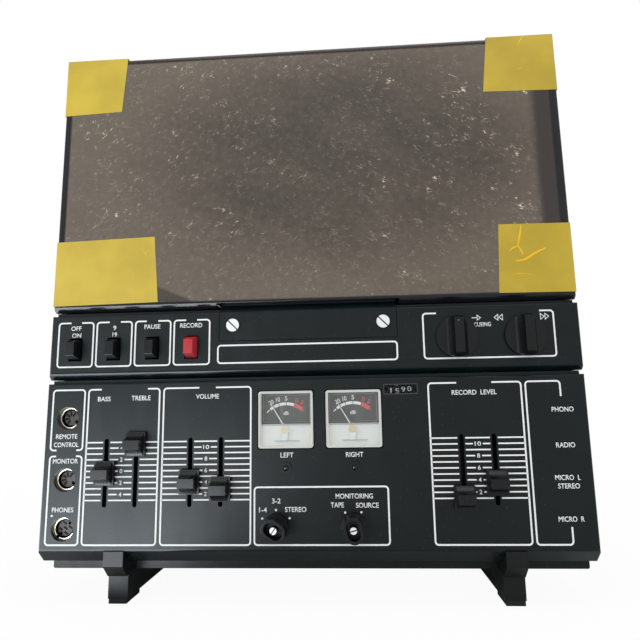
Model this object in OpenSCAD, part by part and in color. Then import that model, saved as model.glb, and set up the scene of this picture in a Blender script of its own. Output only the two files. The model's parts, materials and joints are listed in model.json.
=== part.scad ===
// Upright reel-to-reel tape recorder with a smoked lid, sliders, keys and level meters.
// Millimetres. X to the right, Y to the back, Z up, origin under the middle of the part.

/* [Body] */
// Width of the three front blocks
panel_w = 410; // [402:1:420]
// Height of the flat face of the control panel
panel_h = 124; // [122:1:132]
// Height of the flat face of the transport strip
strip_h = 46.5; // [45:0.5:52]
// Height of the flat face of the lid
lid_h = 216.7; // [212:0.1:224]
// Gap between two front blocks
seam = 3.1; // [2.5:0.1:4.5]
// Depth of the front blocks
block_d = 26; // [25:0.5:30]
// Depth of the rear case with its back cover
case_d = 149; // [140:1:165]
// Wall of the moulded blocks and the case
wall = 3; // [2.5:0.1:3.5]
// How far the case stands out past the blocks
case_rim = 1.3; // [1:0.1:3]
// How far the case reaches below the panel face
case_drop = 19.3; // [17:0.1:24]
// Height of the runner feet under the case
foot_h = 20.8; // [17:0.1:26]
// Radius of the rounded lip under the panel
panel_lip = 9.2; // [7:0.1:10.5]
// Radius of the lip under the strip and the lid
block_lip = 4.2; // [3.8:0.1:5]

/* [Controls] */
// Travel of the sliders, which is also the length of the printed scale
slider_travel = 42.6; // [38:0.1:44]
// Width of the slider slots
slot_w = 3.3; // [2.8:0.1:3.8]
// Width of a slider cap
cap_w = 15.6; // [14:0.1:18]
// Length of a slider cap
cap_l = 17.8; // [16:0.1:19]
// Height of a slider cap above the panel
cap_h = 11.7; // [10:0.1:13]
// How far a key stands out
key_proud = 9; // [7:0.1:11]
// Travel of a key
key_travel = 5; // [3:0.1:6]
// Diameter of the transport knobs
grip_d = 31.2; // [28:0.1:35]
// Height of the transport knobs
grip_h = 12.6; // [10:0.1:15]
// Diameter of the selector knob skirts
selector_d = 18.6; // [16:0.1:20]
// Height of the selector knobs, the foremost pieces
selector_h = 16.5; // [15.5:0.1:19]
// Turn of the track knob from upright, to the left
track_turn = 56; // [40:1:60]
// Turn of the monitor knob from upright, to the left
monitor_turn = 15; // [10:1:30]

/* [Meters] */
// Width of a level meter
meter_w = 41.5; // [38:0.1:42.5]
// Height of a level meter
meter_h = 42.4; // [40:0.1:43]
// Distance between the two meters' centre lines
meter_pitch = 51.2; // [48:0.1:52]
// Length of a needle above its pivot
needle_l = 23.4; // [21:0.1:25]
// Turn of the needles from upright, at rest on the left
needle_turn = 31; // [28:1:36]

/* [Sockets] */
// Diameter of the holes in front of the round sockets
din_hole_d = 17.4; // [16.6:0.1:18]
// How far a socket ring sits behind the face
din_recess = 4.2; // [4:0.1:5]

/* [Tape deck] */
// Distance between the two reel spindles
spindle_gap = 196; // [192:1:200]
// Diameter of a reel spindle
spindle_d = 8; // [7.8:0.1:8]
// Diameter of a reel table
table_d = 62; // [56:1:70]
// Diameter of the capstan
capstan_d = 5; // [4:0.1:6]
// Diameter of the rubber pinch roller
roller_d = 22; // [20:0.5:23]
// Diameter of the flywheel
flywheel_d = 84; // [76:1:88]
// Diameter of the motor pulley
pulley_d = 18; // [14:0.5:22]

/* [Hidden] */
$fn = 64;

// Cutters reach past the faces they open by this much.
over = 1;
// Running clearance of a shaft in its bore.
run_gap = 0.05;
// Clearance round a fixed piece in its hole.
fit_gap = 0.3;

// Heights, measured from the foot of the panel's flat face.
base_z = foot_h + case_drop;
strip_z = panel_h + seam + block_lip;
strip_top = strip_z + strip_h;
lid_z = strip_top + seam + block_lip;
lid_top = lid_z + lid_h;
lid_clear = 2.2;
case_top = lid_top + lid_clear;
floor_z = wall - case_drop;

// Depths, measured from the front face of the blocks.
case_back = block_d + case_d;
cover_t = 3;
cover_y = case_back - cover_t;
deck_t = 3;
deck_y = 40;
deck_back = deck_y + deck_t;
face_y = (selector_h - case_back) / 2;

// Edges of the blocks and the case.
half_w = panel_w / 2;
case_w = panel_w + 2 * case_rim;
case_in = case_w / 2 - wall;
case_h = case_top + case_drop;
case_mid = (case_top - case_drop) / 2;
case_r = 1.6;
case_in_r = 0.8;
edge_r = 1.5;
lip_nose = 2.2;
nose_rise = tan(22.5);
side_r = 2;
inner_r = 0.4;
flange_w = 8;
flange_t = 3;
cross_lo = panel_h - 4;
cross_hi = strip_z - 1.2;
rib_y = 5;
rib_in = 2;
rib_gap = 0.5;
rib_top = seam - rib_gap;
opening_lo = wall + 1;
opening_hi = case_top - wall - 1;
ledge_w = 8;
ledge_d = 12;
ledge_lo = strip_z + 8;
ledge_hi = case_top - 10;
deck_lo = strip_z - 3;
deck_hi = case_top - wall - 2.5;

// Lid and its hinge. The round at the top rear keeps the corner clear of the case.
lid_w = panel_w - 1;
lid_t = 2.5;
lid_d = block_d - 1.7;
hinge_in = 8;
hinge_y = lid_d - hinge_in;
hinge_z = lid_top - hinge_in;
lid_rear_r = 5;
lid_front_r = 4;
pin_r = 2;
arm_r = 4.2;
arm_t = 9;
arm_x = half_w - 20;
arm_gap = 1.5;
boss_r = 5;
boss_x = half_w - 8.5;
pin_end = 0.9;
lid_gap = 3;
hinge_notch = 6;
boss_in = 1;

// Runner feet.
foot_in = 58.5;
foot_x = half_w - foot_in;
foot_w = 15.2;
tab_w = 15;
tab_y = -0.7;
tab_drop = 20;
tab_slope = 9;
tab_face = tab_slope - tab_drop + lip_nose * nose_rise;
leg_y = 10.5;
leg_lap = 2;
pad_t = 3.5;
pad_l = 25;
pad_in = 0.75;
foot_back = cover_y - 4;
rear_pad_y = foot_back - pad_l - 3;

// Sliders: columns, rest heights and the slots.
scale_z = 36.1;
bass_in = 49.6;
pair_pitch = 23.4;
volume_in = 65.3;
level_in = 92.6;
level_pitch = 23.6;
bass_x = bass_in - half_w;
treble_x = bass_x + pair_pitch;
volume_left_x = bass_x + volume_in;
volume_right_x = volume_left_x + pair_pitch;
level_left_x = half_w - level_in;
level_right_x = level_left_x + level_pitch;
bass_z = scale_z + 0.47 * slider_travel;
treble_z = scale_z + 0.97 * slider_travel;
volume_left_z = scale_z + 0.31 * slider_travel;
volume_right_z = scale_z + 0.19 * slider_travel;
level_left_z = scale_z + 0.01 * slider_travel;
level_right_z = scale_z + 0.26 * slider_travel;
slider_xs = [bass_x, treble_x, volume_left_x, volume_right_x, level_left_x, level_right_x];
slot_over = 4;
slot_low = 1.1;
slot_mid = scale_z + slider_travel / 2 - slot_low;
slot_l = slider_travel + 2 * slot_over;
cap_gap = 0.5;
cap_base = 3.2;
cap_r = 1.2;
grip_w = cap_w - 3.2;
grip_l = cap_l - 1;
grip_r = 0.8;
grip_half = 3.4;
scoop_r = 9.5;
stem_w = slot_w - 0.9;
stem_l = 4;
stem_y = 11;
pot_w = 12;
pot_y = 15;
pot_l = slot_l + 10;
pot_slot_w = slot_w + 0.6;
pot_slot_l = slot_l + 2;

// Keys.
key_pitch = 31.1;
power_in = 20.6;
power_x = power_in - half_w;
key_up = 19.4;
key_z = strip_z + key_up;
key_w = 9;
key_l = 16.2;
key_face_w = 7;
key_face_l = 10.4;
key_gap = 0.9;
key_root = 8;
key_stem_w = 5;
key_stem_l = 6;
key_stem_y = 24;
key_xs = [for (i = [0 : 3]) power_x + i * key_pitch];
switch_y = key_root + key_travel + 2.5;
switch_side = 11;
switch_half = 10;
switch_end = key_stem_y + key_travel + 2;

// Transport knobs.
start_in = 91.5;
start_x = half_w - start_in;
wind_in = 40.5;
wind_x = half_w - wind_in;
grip_up = 22.4;
grip_z = strip_z + grip_up;
grip_gap = 0.5;
grip_disc = 2.6;
grip_top_w = 6.8;
grip_flank = 14;
grip_base_w = 17;
grip_in = 0.2;
grip_end = 3;
grip_tilt = 32;
grip_cut = 10;
shaft_r = 3;
stud_r = 2.45;
rotary_r = 13;
rotary_y = 25;
shaft_back = rotary_y - 3;
shaft_slot = 0.9;
shaft_slot_d = 1.6;

// Selector knobs.
track_x = -25;
monitor_x = 31.8;
selector_z = 16.9;
selector_gap = 0.6;
skirt_t = 5;
bar_w = 13.4;
bar_l = 18.4;
bar_rim = 2.1;
bar_recess = 9;
shaft_front = selector_h - 1.6;

// Meters.
meter_x = 8.2;
meter_down = 29.9;
meter_z = panel_h - meter_down;
meter_xs = [meter_x - meter_pitch / 2, meter_x + meter_pitch / 2];
meter_wall = 1.5;
meter_r = 2;
meter_case_y = 2.4;
meter_back = 26;
meter_gap = 1.6;
mask_t = 1;
mask_h = meter_h * 0.42;
mask_top = meter_z - meter_h / 2 + mask_h;
scale_y = 6;
scale_t = 0.8;
scale_lap = 2;
window_y = -0.8;
window_t = 1.4;
pivot_up = 13;
pivot_z = meter_z - meter_h / 2 + pivot_up;
needle_y = 4.2;
needle_t = 0.5;
needle_tail = 5;
needle_root = 0.55;
needle_tip = 0.25;
needle_hub_r = 1.8;
core_y = 9;
core_r = 8;
core_back = 22;
pivot_r = 0.6;

// Lamps.
lamp_down = 14.4;
lamp_z = meter_z - meter_h / 2 - lamp_down;
lamp_r = 4.2;
lamp_tube_r = 3.2;
lens_r = 2.3;
lens_l = 12;
dome_r = 3;
lamp_rim = 1;
lamp_tube_l = 8;

// Round sockets.
din_in = 17.9;
din_x = din_in - half_w;
din_down = 26.5;
din_zs = [panel_h - din_down, 51.2, 15.3];
side_top = 27.5;
side_low = 20;
side_step = (panel_h - side_top - side_low) / 3;
side_zs = [for (i = [3 : -1 : 0]) side_low + i * side_step];
side_y = 14;
din_flange_r = 10;
din_flange_t = 1.6;
din_groove = 0.6;
shell_front = din_recess - 0.4;
shell_r = 7.9;
shell_in_r = 7.1;
shell_y = 16;
insert_r = 5.7;
insert_front = din_recess + 1.3;
contact_ring = 3.5;
contact_w = 1.5;
contact_l = 3.1;
contact_d = 6;
shell_back = shell_y - 2;
notch_half = 1.1;
groove_half = 1;
groove_d = 2;
// Five contacts in a fan, or four round a fifth. Each has its place and its turn.
fan_turn = 145;
fan_step = 45;
fan_slots = [for (i = [-2 : 2]) let (a = fan_turn + i * fan_step) concat(polar(contact_ring, a), a - 90)];
fan_notch = [fan_turn + 180];
cross_turn = 10;
slant = 55;
ring_slots = [for (i = [0 : 3]) concat(polar(contact_ring + 0.3, cross_turn + 90 * i), slant)];
cross_slots = concat([[0, 0, slant]], ring_slots);
cross_notches = [50, 230];

// Counter.
counter_w = 24.2;
counter_in = 2.95;
counter_x = meter_xs[1] + (meter_w + counter_w) / 2 + counter_in;
counter_down = 8.7;
counter_z = panel_h - counter_down;
counter_h = 6.6;
wheel_r = 5;
wheel_w = 4.2;
wheel_pitch = 4.6;
wheel_y = 8.6;
counter_shaft_r = 1;
counter_back = 18;
counter_side = 1.5;

// Head block and tape path.
cover_l = -69;
cover_r = 68.6;
notch_up = 23.3;
notch_z = strip_z + notch_up;
cover_gap = 0.4;
cover_plate = 2.5;
cover_bend = 0.6;
cover_slope = 6.5;
cover_rise = 22;
cover_flap = 14;
cover_flap_rise = 4;
screw_x = 58.3;
screw_up = 12.4;
screw_z = notch_z + screw_up;
screw_r = 5;
screw_head = 1.6;
screw_slot = 1;
screw_shank_r = 2;
screw_end = 16;
post_r = 4;
head_plate_y = deck_y - 4;
head_plate_rise = 26;
head_xs = [-36, -12, 12];
head_w = 13;
head_front = 15;
head_l = 18;
head_nose_r = head_w / 2 - 0.01;
head_nose_y = head_plate_y - 4;
tape_up = 10.4;
tape_z = strip_top + tape_up;
guide_xs = [-160, -80, 80, 160];
guide_out = tape_z + 10;
guide_mid = tape_z + 2;
guide_zs = [guide_out, guide_mid, guide_mid, guide_out];
guide_front = 14;
guide_r = 3.5;
guide_rim_r = 5.2;
guide_rim_t = 1.6;
guide_rim_ys = [17, 28.4];
guide_foot_r = 6;
guide_foot_t = 3;

// Capstan, roller and arm.
capstan_x = 37;
capstan_r = capstan_d / 2;
capstan_z = tape_z + 0.8 + capstan_r;
capstan_front = 12;
roller_r = roller_d / 2;
roller_nip = 0.3;
roller_drop = 5;
roller_z = capstan_z - capstan_r - roller_nip - roller_r - roller_drop;
roller_x = capstan_x + 1.2;
roller_y = 18.5;
roller_w = 10;
roller_pin_r = 2;
arm_pivot_x = 62;
arm_pivot_z = roller_z + 8.3;
arm_plate_y = 29.5;
arm_plate_t = 3;
arm_half = 4.5;
arm_pin_r = 2.5;
arm_boss_r = 4;
arm_play = 0.2;

// Reel tables.
spindle_x = spindle_gap / 2;
spindle_up = 114.9;
spindle_z = lid_z + spindle_up;
spindle_r = spindle_d / 2;
spindle_front = 9;
table_y = 30;
table_t = 6;
table_hub_r = 9;
table_hub_y = 37.6;
table_boss_r = 12;
table_boss_t = 1.2;
bearing_y = 38;
bearing_back = 76;
bearing_r = 10;
bearing_flange_r = 17;
bearing_flange_t = 3;
capstan_bearing_r = bearing_r - 1;
table_shaft_r = 3.5;
drum_r = 22;
drum_y = 78;
drum_back = 86;
fin_w = 1.5;
root_r = spindle_r - 0.2;
fin_r = spindle_r + 1.6;
fin_front = 19;
fin_step = 0.5;
tip_l = 1.5;

// Motor drive.
motor_x = -40;
motor_up = 33.5;
motor_z = capstan_z + motor_up;
motor_r = 28;
motor_back = 82;
motor_plate_w = 2 * motor_r + 10;
motor_plate_t = 3;
motor_plate_r = 5;
motor_nose_r = 6;
motor_nose_l = 2;
motor_bore_y = motor_back - 20;
pulley_r = pulley_d / 2;
pulley_y = 87;
pulley_back = 96;
motor_shaft_r = 2;
flywheel_r = flywheel_d / 2;
flywheel_y = 86;
flywheel_back = 98;
flywheel_hub_r = 9;
flywheel_rim = 12;
flywheel_web = 6;
belt_y = 88;
belt_back = 94;
belt_t = 1;
belt_gap = 0.12;
belt_steps = 36;

// Transformer on the floor at the left, circuit board across the case.
core_l = 17 - half_w;
core_front = 96;
core_size = 60;
core_stack = 40;
core_leg = 8;
coil_out = 8;
coil_half = 20;
board_l = -100;
board_r = half_w - 19;
board_y = 70;
board_t = 1.6;
board_drop = 14;
capacitor_x = -80;
capacitor_z = panel_h - 40;
capacitor_step = 48;
capacitor_r = 6;
capacitor_l = 24;
can_x = -70;
can_z = 12;
can_step = 62;
can_w = 36;
can_h = 22;
can_l = 12.4;

// Back: screws, inlet and vents.
back_screw_x = case_in - 13;
back_screw_zs = [floor_z + 12, case_mid, case_top - wall - 12];
back_boss_r = 6;
back_boss_l = 22;
back_rib = back_boss_r - 1;
back_bore_y = cover_y - back_boss_l + 4;
back_shank_y = back_bore_y + 2;
back_shank_r = 1.9;
back_head_r = 3.6;
back_head_t = 2;
cross_l = 4.4;
cross_w = 0.9;
inlet_in = 55;
inlet_x = half_w - inlet_in;
inlet_z = 26;
inlet_w = 26;
inlet_h = 20;
inlet_l = 20;
inlet_r = 2;
inlet_wall = 2.5;
inlet_flange = 4;
inlet_flange_t = 3;
inlet_pin_x = 5;
inlet_pin_r = 1.2;
inlet_pin_in = 8;
vent_w = 78;
vent_h = 3.6;
vent_step = 9;
vent_x = 90;
vent_low_x = -120;
vent_low_z = 20;

// A point at a distance and an angle from the origin.
function polar(r, a) = r * [cos(a), sin(a)];

// Everything is drawn from the panel's face and the foot of its flat front.
module at_face() {
  translate([0, face_y, base_z]) children();
}

// A flat outline in X and Z, given thickness along Y.
module slab(y0, y1) {
  translate([0, y1, 0]) rotate([90, 0, 0]) linear_extrude(y1 - y0) children();
}

// A side outline in Y and Z, given width along X.
module bar(x0, x1) {
  translate([x0, 0, 0]) rotate([90, 0, 90]) linear_extrude(x1 - x0) children();
}

// A round rod along Y.
module rod(x, z, r, y0, y1) {
  translate([x, y1, z]) rotate([90, 0, 0]) cylinder(r = r, h = y1 - y0);
}

// A box between two corners.
module box(a, b) {
  translate(a) cube(b - a);
}

// A rectangle with round corners, centred.
module rrect(w, h, r) {
  square([w - 2 * r, h], center = true);
  square([w, h - 2 * r], center = true);
  for (sx = [-1, 1], sz = [-1, 1]) {
    translate([sx * (w / 2 - r), sz * (h / 2 - r)]) circle(r = r);
  }
}

// A slot shape with half-round ends, upright and centred.
module stadium(w, h) {
  square([w, h - w], center = true);
  for (s = [-1, 1]) {
    translate([0, s * (h - w) / 2]) circle(r = w / 2);
  }
}

// Side outline of a lip: a round nose at the foot of the face, then a slope back and down.
module lip_side(y, z, drop, far, nose) {
  rise = nose * nose_rise;
  fall = rise * sin(45);
  translate([y + nose, z + rise]) circle(r = nose);
  polygon([[y, z + rise], [y + fall, z - fall], [y + drop, z - drop], [far, z - drop], [far, z + rise]]);
}

// Side outline of a front block: flat face, lip below, small round on top.
module block_side(z0, z1, lip, depth, inset, top_r) {
  far = inset > 0 ? depth + over : depth;
  top = z1 - inset;
  nose = inset > 0 ? inner_r : lip_nose;
  low = z0 + nose * nose_rise;
  translate([inset, low]) square([far - inset, lip_nose]);
  translate([inset, z0 + lip_nose]) square([far - inset, top - top_r - z0 - lip_nose]);
  translate([inset + top_r, z0]) square([far - inset - top_r, top - z0]);
  translate([inset + top_r, top - top_r]) circle(r = top_r);
  lip_side(inset, z0, lip - inset, far, nose);
}

// A front block: a tray open to the back.
module block_tray(w, z0, z1, lip, depth, t, top_r) {
  difference() {
    intersection() {
      bar(-w / 2, w / 2) block_side(z0, z1, lip, depth, 0, top_r);
      translate([0, depth, z0 - 2 * lip]) linear_extrude(z1 - z0 + 4 * lip) {
        rrect(w, 2 * depth, side_r);
      }
    }
    bar(t - w / 2, w / 2 - t) block_side(z0, z1, lip, depth, t, inner_r);
  }
}

// A rib along the top of a front block, which fills the seam above it behind the front face.
module seam_rib(z) {
  box([rib_in - half_w, rib_y, z - over], [half_w - rib_in, block_d, z + rib_top]);
}

// Structure

module rear_case() color([0.10, 0.10, 0.11]) at_face() {
  difference() {
    slab(block_d, cover_y) translate([0, case_mid]) rrect(case_w, case_h, case_r);
    slab(block_d + flange_t, cover_y + over) translate([0, case_mid]) {
      rrect(2 * case_in, case_h - 2 * wall, case_in_r);
    }
    box([flange_w - half_w, block_d - over, opening_lo],
      [half_w - flange_w, block_d + flange_t + over, cross_lo]);
    box([flange_w - half_w, block_d - over, cross_hi],
      [half_w - flange_w, block_d + flange_t + over, opening_hi]);
  }
  // Ledges behind the deck plate.
  for (s = [-1, 1]) {
    box([s > 0 ? case_in - ledge_w : -case_in - over, deck_back, ledge_lo],
      [s > 0 ? case_in + over : ledge_w - case_in, deck_back + ledge_d, ledge_hi]);
  }
  // Bosses for the back cover's screws.
  for (s = [-1, 1], z = back_screw_zs) {
    difference() {
      union() {
        rod(s * back_screw_x, z, back_boss_r, cover_y - back_boss_l, cover_y);
        box([s > 0 ? back_screw_x : -case_in - over, cover_y - back_boss_l, z - back_rib],
          [s > 0 ? case_in + over : -back_screw_x, cover_y, z + back_rib]);
      }
      rod(s * back_screw_x, z, back_shank_r + run_gap, back_bore_y, cover_y + over);
    }
  }
}

module back_cover() color([0.12, 0.12, 0.13]) at_face() {
  difference() {
    slab(cover_y, case_back) translate([0, case_mid]) rrect(case_w, case_h, case_r);
    for (s = [-1, 1], i = [-4 : 4]) {
      slab(cover_y - over, case_back + over) translate([s * vent_x, spindle_z + i * vent_step]) {
        rotate(90) stadium(vent_h, vent_w);
      }
    }
    for (i = [0 : 4]) {
      slab(cover_y - over, case_back + over) translate([vent_low_x, vent_low_z + i * vent_step]) {
        rotate(90) stadium(vent_h, vent_w);
      }
    }
    for (s = [-1, 1], z = back_screw_zs) {
      rod(s * back_screw_x, z, back_shank_r + run_gap, cover_y - over, case_back + over);
      rod(s * back_screw_x, z, back_head_r + run_gap, case_back - back_head_t, case_back + over);
    }
    slab(cover_y - over, case_back + over) translate([inlet_x, inlet_z]) {
      rrect(inlet_w + fit_gap, inlet_h + fit_gap, inlet_r);
    }
  }
}

module case_screws() color([0.55, 0.56, 0.58]) at_face() {
  for (s = [-1, 1], z = back_screw_zs) {
    difference() {
      union() {
        rod(s * back_screw_x, z, back_head_r, case_back - back_head_t, case_back);
        rod(s * back_screw_x, z, back_shank_r, back_shank_y, case_back - back_head_t);
      }
      for (a = [0, 90]) {
        translate([s * back_screw_x, case_back, z]) rotate([0, a, 0]) {
          cube([cross_l, back_head_t, cross_w], center = true);
        }
      }
    }
  }
}

module front_panel() color([0.15, 0.16, 0.17]) at_face() {
  difference() {
    union() {
      block_tray(panel_w, 0, panel_h, panel_lip, block_d, wall, edge_r);
      seam_rib(panel_h);
    }
    for (x = slider_xs) {
      slab(-over, wall + over) translate([x, slot_mid]) stadium(slot_w, slot_l);
    }
    for (z = din_zs) {
      rod(din_x, z, din_hole_d / 2, -over, wall + over);
    }
    for (z = side_zs) {
      translate([half_w - wall - over, side_y, z]) rotate([0, 90, 0]) {
        cylinder(r = din_hole_d / 2, h = wall + 2 * over);
      }
    }
    for (x = meter_xs) {
      slab(-over, wall + over) translate([x, meter_z]) {
        rrect(meter_w + meter_gap, meter_h + meter_gap, meter_r);
      }
      rod(x, lamp_z, lamp_tube_r + run_gap, -over, wall + over);
    }
    for (x = [track_x, monitor_x]) {
      rod(x, selector_z, stud_r + fit_gap, -over, wall + over);
    }
    slab(-over, wall + over) translate([counter_x, counter_z]) {
      square([counter_w, counter_h], center = true);
    }
    for (s = [-1, 1]) {
      box([s * foot_x - tab_w / 2 - fit_gap, -over, -panel_lip - over],
        [s * foot_x + tab_w / 2 + fit_gap, block_d + over, 0]);
    }
  }
}

module transport_strip() color([0.14, 0.15, 0.16]) at_face() {
  difference() {
    union() {
      block_tray(panel_w, strip_z, strip_top, block_lip, block_d, wall, edge_r);
      box([flange_w + fit_gap - half_w, block_d - over, strip_top - wall],
        [half_w - flange_w - fit_gap, deck_y, strip_top]);
      seam_rib(strip_top);
    }
    box([cover_l - cover_gap, -over, notch_z], [cover_r + cover_gap, deck_y + over, strip_top + seam]);
    for (x = key_xs) {
      slab(-over, wall + over) translate([x, key_z]) {
        square([key_w + 2 * key_gap, key_l + 2 * key_gap], center = true);
      }
    }
    for (x = [start_x, wind_x]) {
      rod(x, grip_z, shaft_r + fit_gap, -over, wall + over);
    }
  }
}

module deck_plate() color([0.62, 0.63, 0.64]) at_face() {
  difference() {
    box([fit_gap - case_in, deck_y, deck_lo], [case_in - fit_gap, deck_back, deck_hi]);
    for (s = [-1, 1]) {
      rod(s * spindle_x, spindle_z, bearing_r + run_gap, deck_y - over, deck_back + over);
    }
    rod(capstan_x, capstan_z, capstan_bearing_r + run_gap, deck_y - over, deck_back + over);
  }
}

module head_cover() color([0.15, 0.16, 0.17]) at_face() {
  // Upright front, slope back under the lid, upright part again and a top flap.
  low = notch_z + cover_gap;
  bend = strip_top - cover_bend;
  top = strip_top + cover_rise;
  flap = cover_slope + cover_flap;
  t = cover_plate;
  difference() {
    bar(cover_l, cover_r) polygon([[0, low], [0, bend], [cover_slope, bend + cover_slope],
      [cover_slope, top], [flap, top + cover_flap_rise], [flap, top + cover_flap_rise - t],
      [cover_slope + t, top - t], [cover_slope + t, bend - 1 + cover_slope], [t, bend - 1], [t, low]]);
    for (s = [-1, 1]) {
      rod(s * screw_x, screw_z, screw_shank_r + run_gap, -over, cover_plate + over);
    }
  }
}

module head_cover_screws() color([0.82, 0.83, 0.84]) at_face() {
  for (s = [-1, 1]) {
    difference() {
      union() {
        rod(s * screw_x, screw_z, screw_r, -screw_head, 0);
        rod(s * screw_x, screw_z, screw_shank_r, 0, screw_end);
      }
      translate([s * screw_x, -screw_head, screw_z]) rotate([0, 45, 0]) {
        cube([2 * screw_r + over, screw_head - 0.2, screw_slot], center = true);
      }
    }
  }
}

module head_plate() color([0.55, 0.55, 0.56]) at_face() {
  difference() {
    union() {
      box([cover_l + 3, head_plate_y, notch_z + 3], [cover_r - 0.6, deck_y, strip_top + head_plate_rise]);
      for (s = [-1, 1]) {
        rod(s * screw_x, screw_z, post_r, cover_plate, head_plate_y + over);
      }
      // Pin and shoulder of the pinch arm.
      rod(arm_pivot_x, arm_pivot_z, arm_pin_r, arm_plate_y - 1, head_plate_y + over);
      rod(arm_pivot_x, arm_pivot_z, arm_boss_r, arm_plate_y + arm_plate_t + arm_play, head_plate_y + over);
    }
    for (s = [-1, 1]) {
      rod(s * screw_x, screw_z, screw_shank_r + run_gap, 0, screw_end + 2);
    }
    rod(capstan_x, capstan_z, capstan_bearing_r + run_gap, head_plate_y - over, deck_y + over);
  }
}

module tape_heads() color([0.72, 0.72, 0.74]) at_face() {
  mid = tape_z - head_w / 2;
  for (x = head_xs) {
    box([x - head_w / 2, head_front, tape_z - head_l], [x + head_w / 2, head_plate_y, mid]);
    rod(x, mid, head_nose_r, head_front, head_nose_y);
  }
}

module tape_guides() color([0.78, 0.78, 0.80]) at_face() {
  for (i = [0 : 3]) {
    rod(guide_xs[i], guide_zs[i], guide_r, guide_front, deck_y);
    rod(guide_xs[i], guide_zs[i], guide_foot_r, deck_y - guide_foot_t, deck_y);
    for (y = guide_rim_ys) {
      rod(guide_xs[i], guide_zs[i], guide_rim_r, y, y + guide_rim_t);
    }
  }
}

module lid() color([0.30, 0.27, 0.23, 0.55]) at_face() {
  difference() {
    union() {
      difference() {
        block_tray(lid_w, lid_z, lid_top, block_lip, lid_d, lid_t, lid_front_r);
        // Round at the top rear edge.
        bar(-half_w, half_w) difference() {
          translate([lid_d - lid_rear_r, lid_top - lid_rear_r]) square(lid_rear_r + over);
          translate([lid_d - lid_rear_r, lid_top - lid_rear_r]) circle(r = lid_rear_r);
        }
        // Gap over the head cover.
        box([cover_l - lid_gap, lid_t, lid_z - block_lip - over],
          [cover_r + lid_gap, lid_d + over, lid_z + over]);
        box([cover_l - lid_gap, -over, lid_z - block_lip - over],
          [cover_r + lid_gap, lid_d + over, lid_z]);
        // Notches for the hinge arms.
        for (s = [-1, 1]) {
          box([s * (arm_x + arm_t / 2) - arm_t / 2 - arm_gap, hinge_y - hinge_in, lid_top - hinge_notch],
            [s * (arm_x + arm_t / 2) + arm_t / 2 + arm_gap, lid_d + over, lid_top + over]);
        }
      }
      for (s = [-1, 1]) {
        translate([s > 0 ? boss_x : boss_in - lid_w / 2, hinge_y, hinge_z]) rotate([0, 90, 0]) {
          cylinder(r = boss_r, h = lid_w / 2 - boss_x - boss_in);
        }
      }
    }
    for (s = [-1, 1]) {
      bore_x = s > 0 ? boss_x - over : pin_end - fit_gap - lid_w / 2;
      translate([bore_x, hinge_y, hinge_z]) rotate([0, 90, 0]) {
        cylinder(r = pin_r + run_gap, h = lid_w / 2 - boss_x + over - pin_end + fit_gap);
      }
    }
  }
}

module lid_hinges() color([0.45, 0.46, 0.48]) at_face() {
  for (s = [-1, 1]) {
    x0 = s > 0 ? arm_x : -arm_x - arm_t;
    bar(x0, x0 + arm_t) {
      translate([hinge_y, hinge_z]) circle(r = arm_r);
      translate([hinge_y, hinge_z - arm_r]) square([deck_y - hinge_y, 2 * arm_r]);
    }
    translate([s > 0 ? arm_x + 1 : pin_end - lid_w / 2, hinge_y, hinge_z]) rotate([0, 90, 0]) {
      cylinder(r = pin_r, h = lid_w / 2 - pin_end - arm_x - 1);
    }
  }
}

module runner_feet() color([0.13, 0.13, 0.14]) at_face() {
  low = pad_t - foot_h - case_drop;
  for (s = [-1, 1]) {
    x = s * foot_x;
    // Tab over the panel's lip, with a lip of its own.
    bar(x - tab_w / 2, x + tab_w / 2) {
      lip_side(tab_y, tab_slope - tab_drop, tab_slope, block_d, lip_nose);
      translate([tab_y, tab_face]) square([block_d - tab_y, -fit_gap - tab_face]);
    }
    // Leg and runner under the case.
    bar(x - foot_w / 2, x + foot_w / 2) polygon([[leg_y, -tab_drop], [leg_y, low], [foot_back, low],
      [foot_back, -case_drop], [block_d, -case_drop], [block_d, leg_lap - tab_drop],
      [leg_y + leg_lap, leg_lap - tab_drop]]);
  }
}

module foot_pads() color([0.06, 0.06, 0.06]) at_face() {
  low = -foot_h - case_drop;
  half = foot_w / 2 - pad_in;
  for (s = [-1, 1], y = [leg_y, rear_pad_y]) {
    box([s * foot_x - half, y, low], [s * foot_x + half, y + pad_l, low + pad_t]);
  }
}

// Controls

module slider(x, z) at_face() translate([x, 0, z]) {
  slab(-cap_base, -cap_gap) rrect(cap_w, cap_l, cap_r);
  difference() {
    slab(-cap_h, -cap_base) rrect(grip_w, grip_l, grip_r);
    for (s = [-1, 1]) {
      translate([-cap_w / 2, -cap_h, s * (grip_half + scoop_r)]) rotate([0, 90, 0]) {
        cylinder(r = scoop_r, h = cap_w);
      }
    }
  }
  box([-stem_w / 2, -cap_base, -stem_l / 2], [stem_w / 2, stem_y, stem_l / 2]);
}

module bass_slider() color([0.05, 0.05, 0.06]) slider(bass_x, bass_z);

module treble_slider() color([0.05, 0.05, 0.06]) slider(treble_x, treble_z);

module volume_left_slider() color([0.05, 0.05, 0.06]) slider(volume_left_x, volume_left_z);

module volume_right_slider() color([0.05, 0.05, 0.06]) slider(volume_right_x, volume_right_z);

module level_left_slider() color([0.05, 0.05, 0.06]) slider(level_left_x, level_left_z);

module level_right_slider() color([0.05, 0.05, 0.06]) slider(level_right_x, level_right_z);

module slide_controls() color([0.42, 0.43, 0.42]) at_face() {
  for (x = slider_xs) {
    difference() {
      box([x - pot_w / 2, wall, slot_mid - pot_l / 2], [x + pot_w / 2, pot_y, slot_mid + pot_l / 2]);
      slab(wall - over, stem_y + 1) translate([x, slot_mid]) {
        square([pot_slot_w, pot_slot_l], center = true);
      }
    }
  }
}

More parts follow.
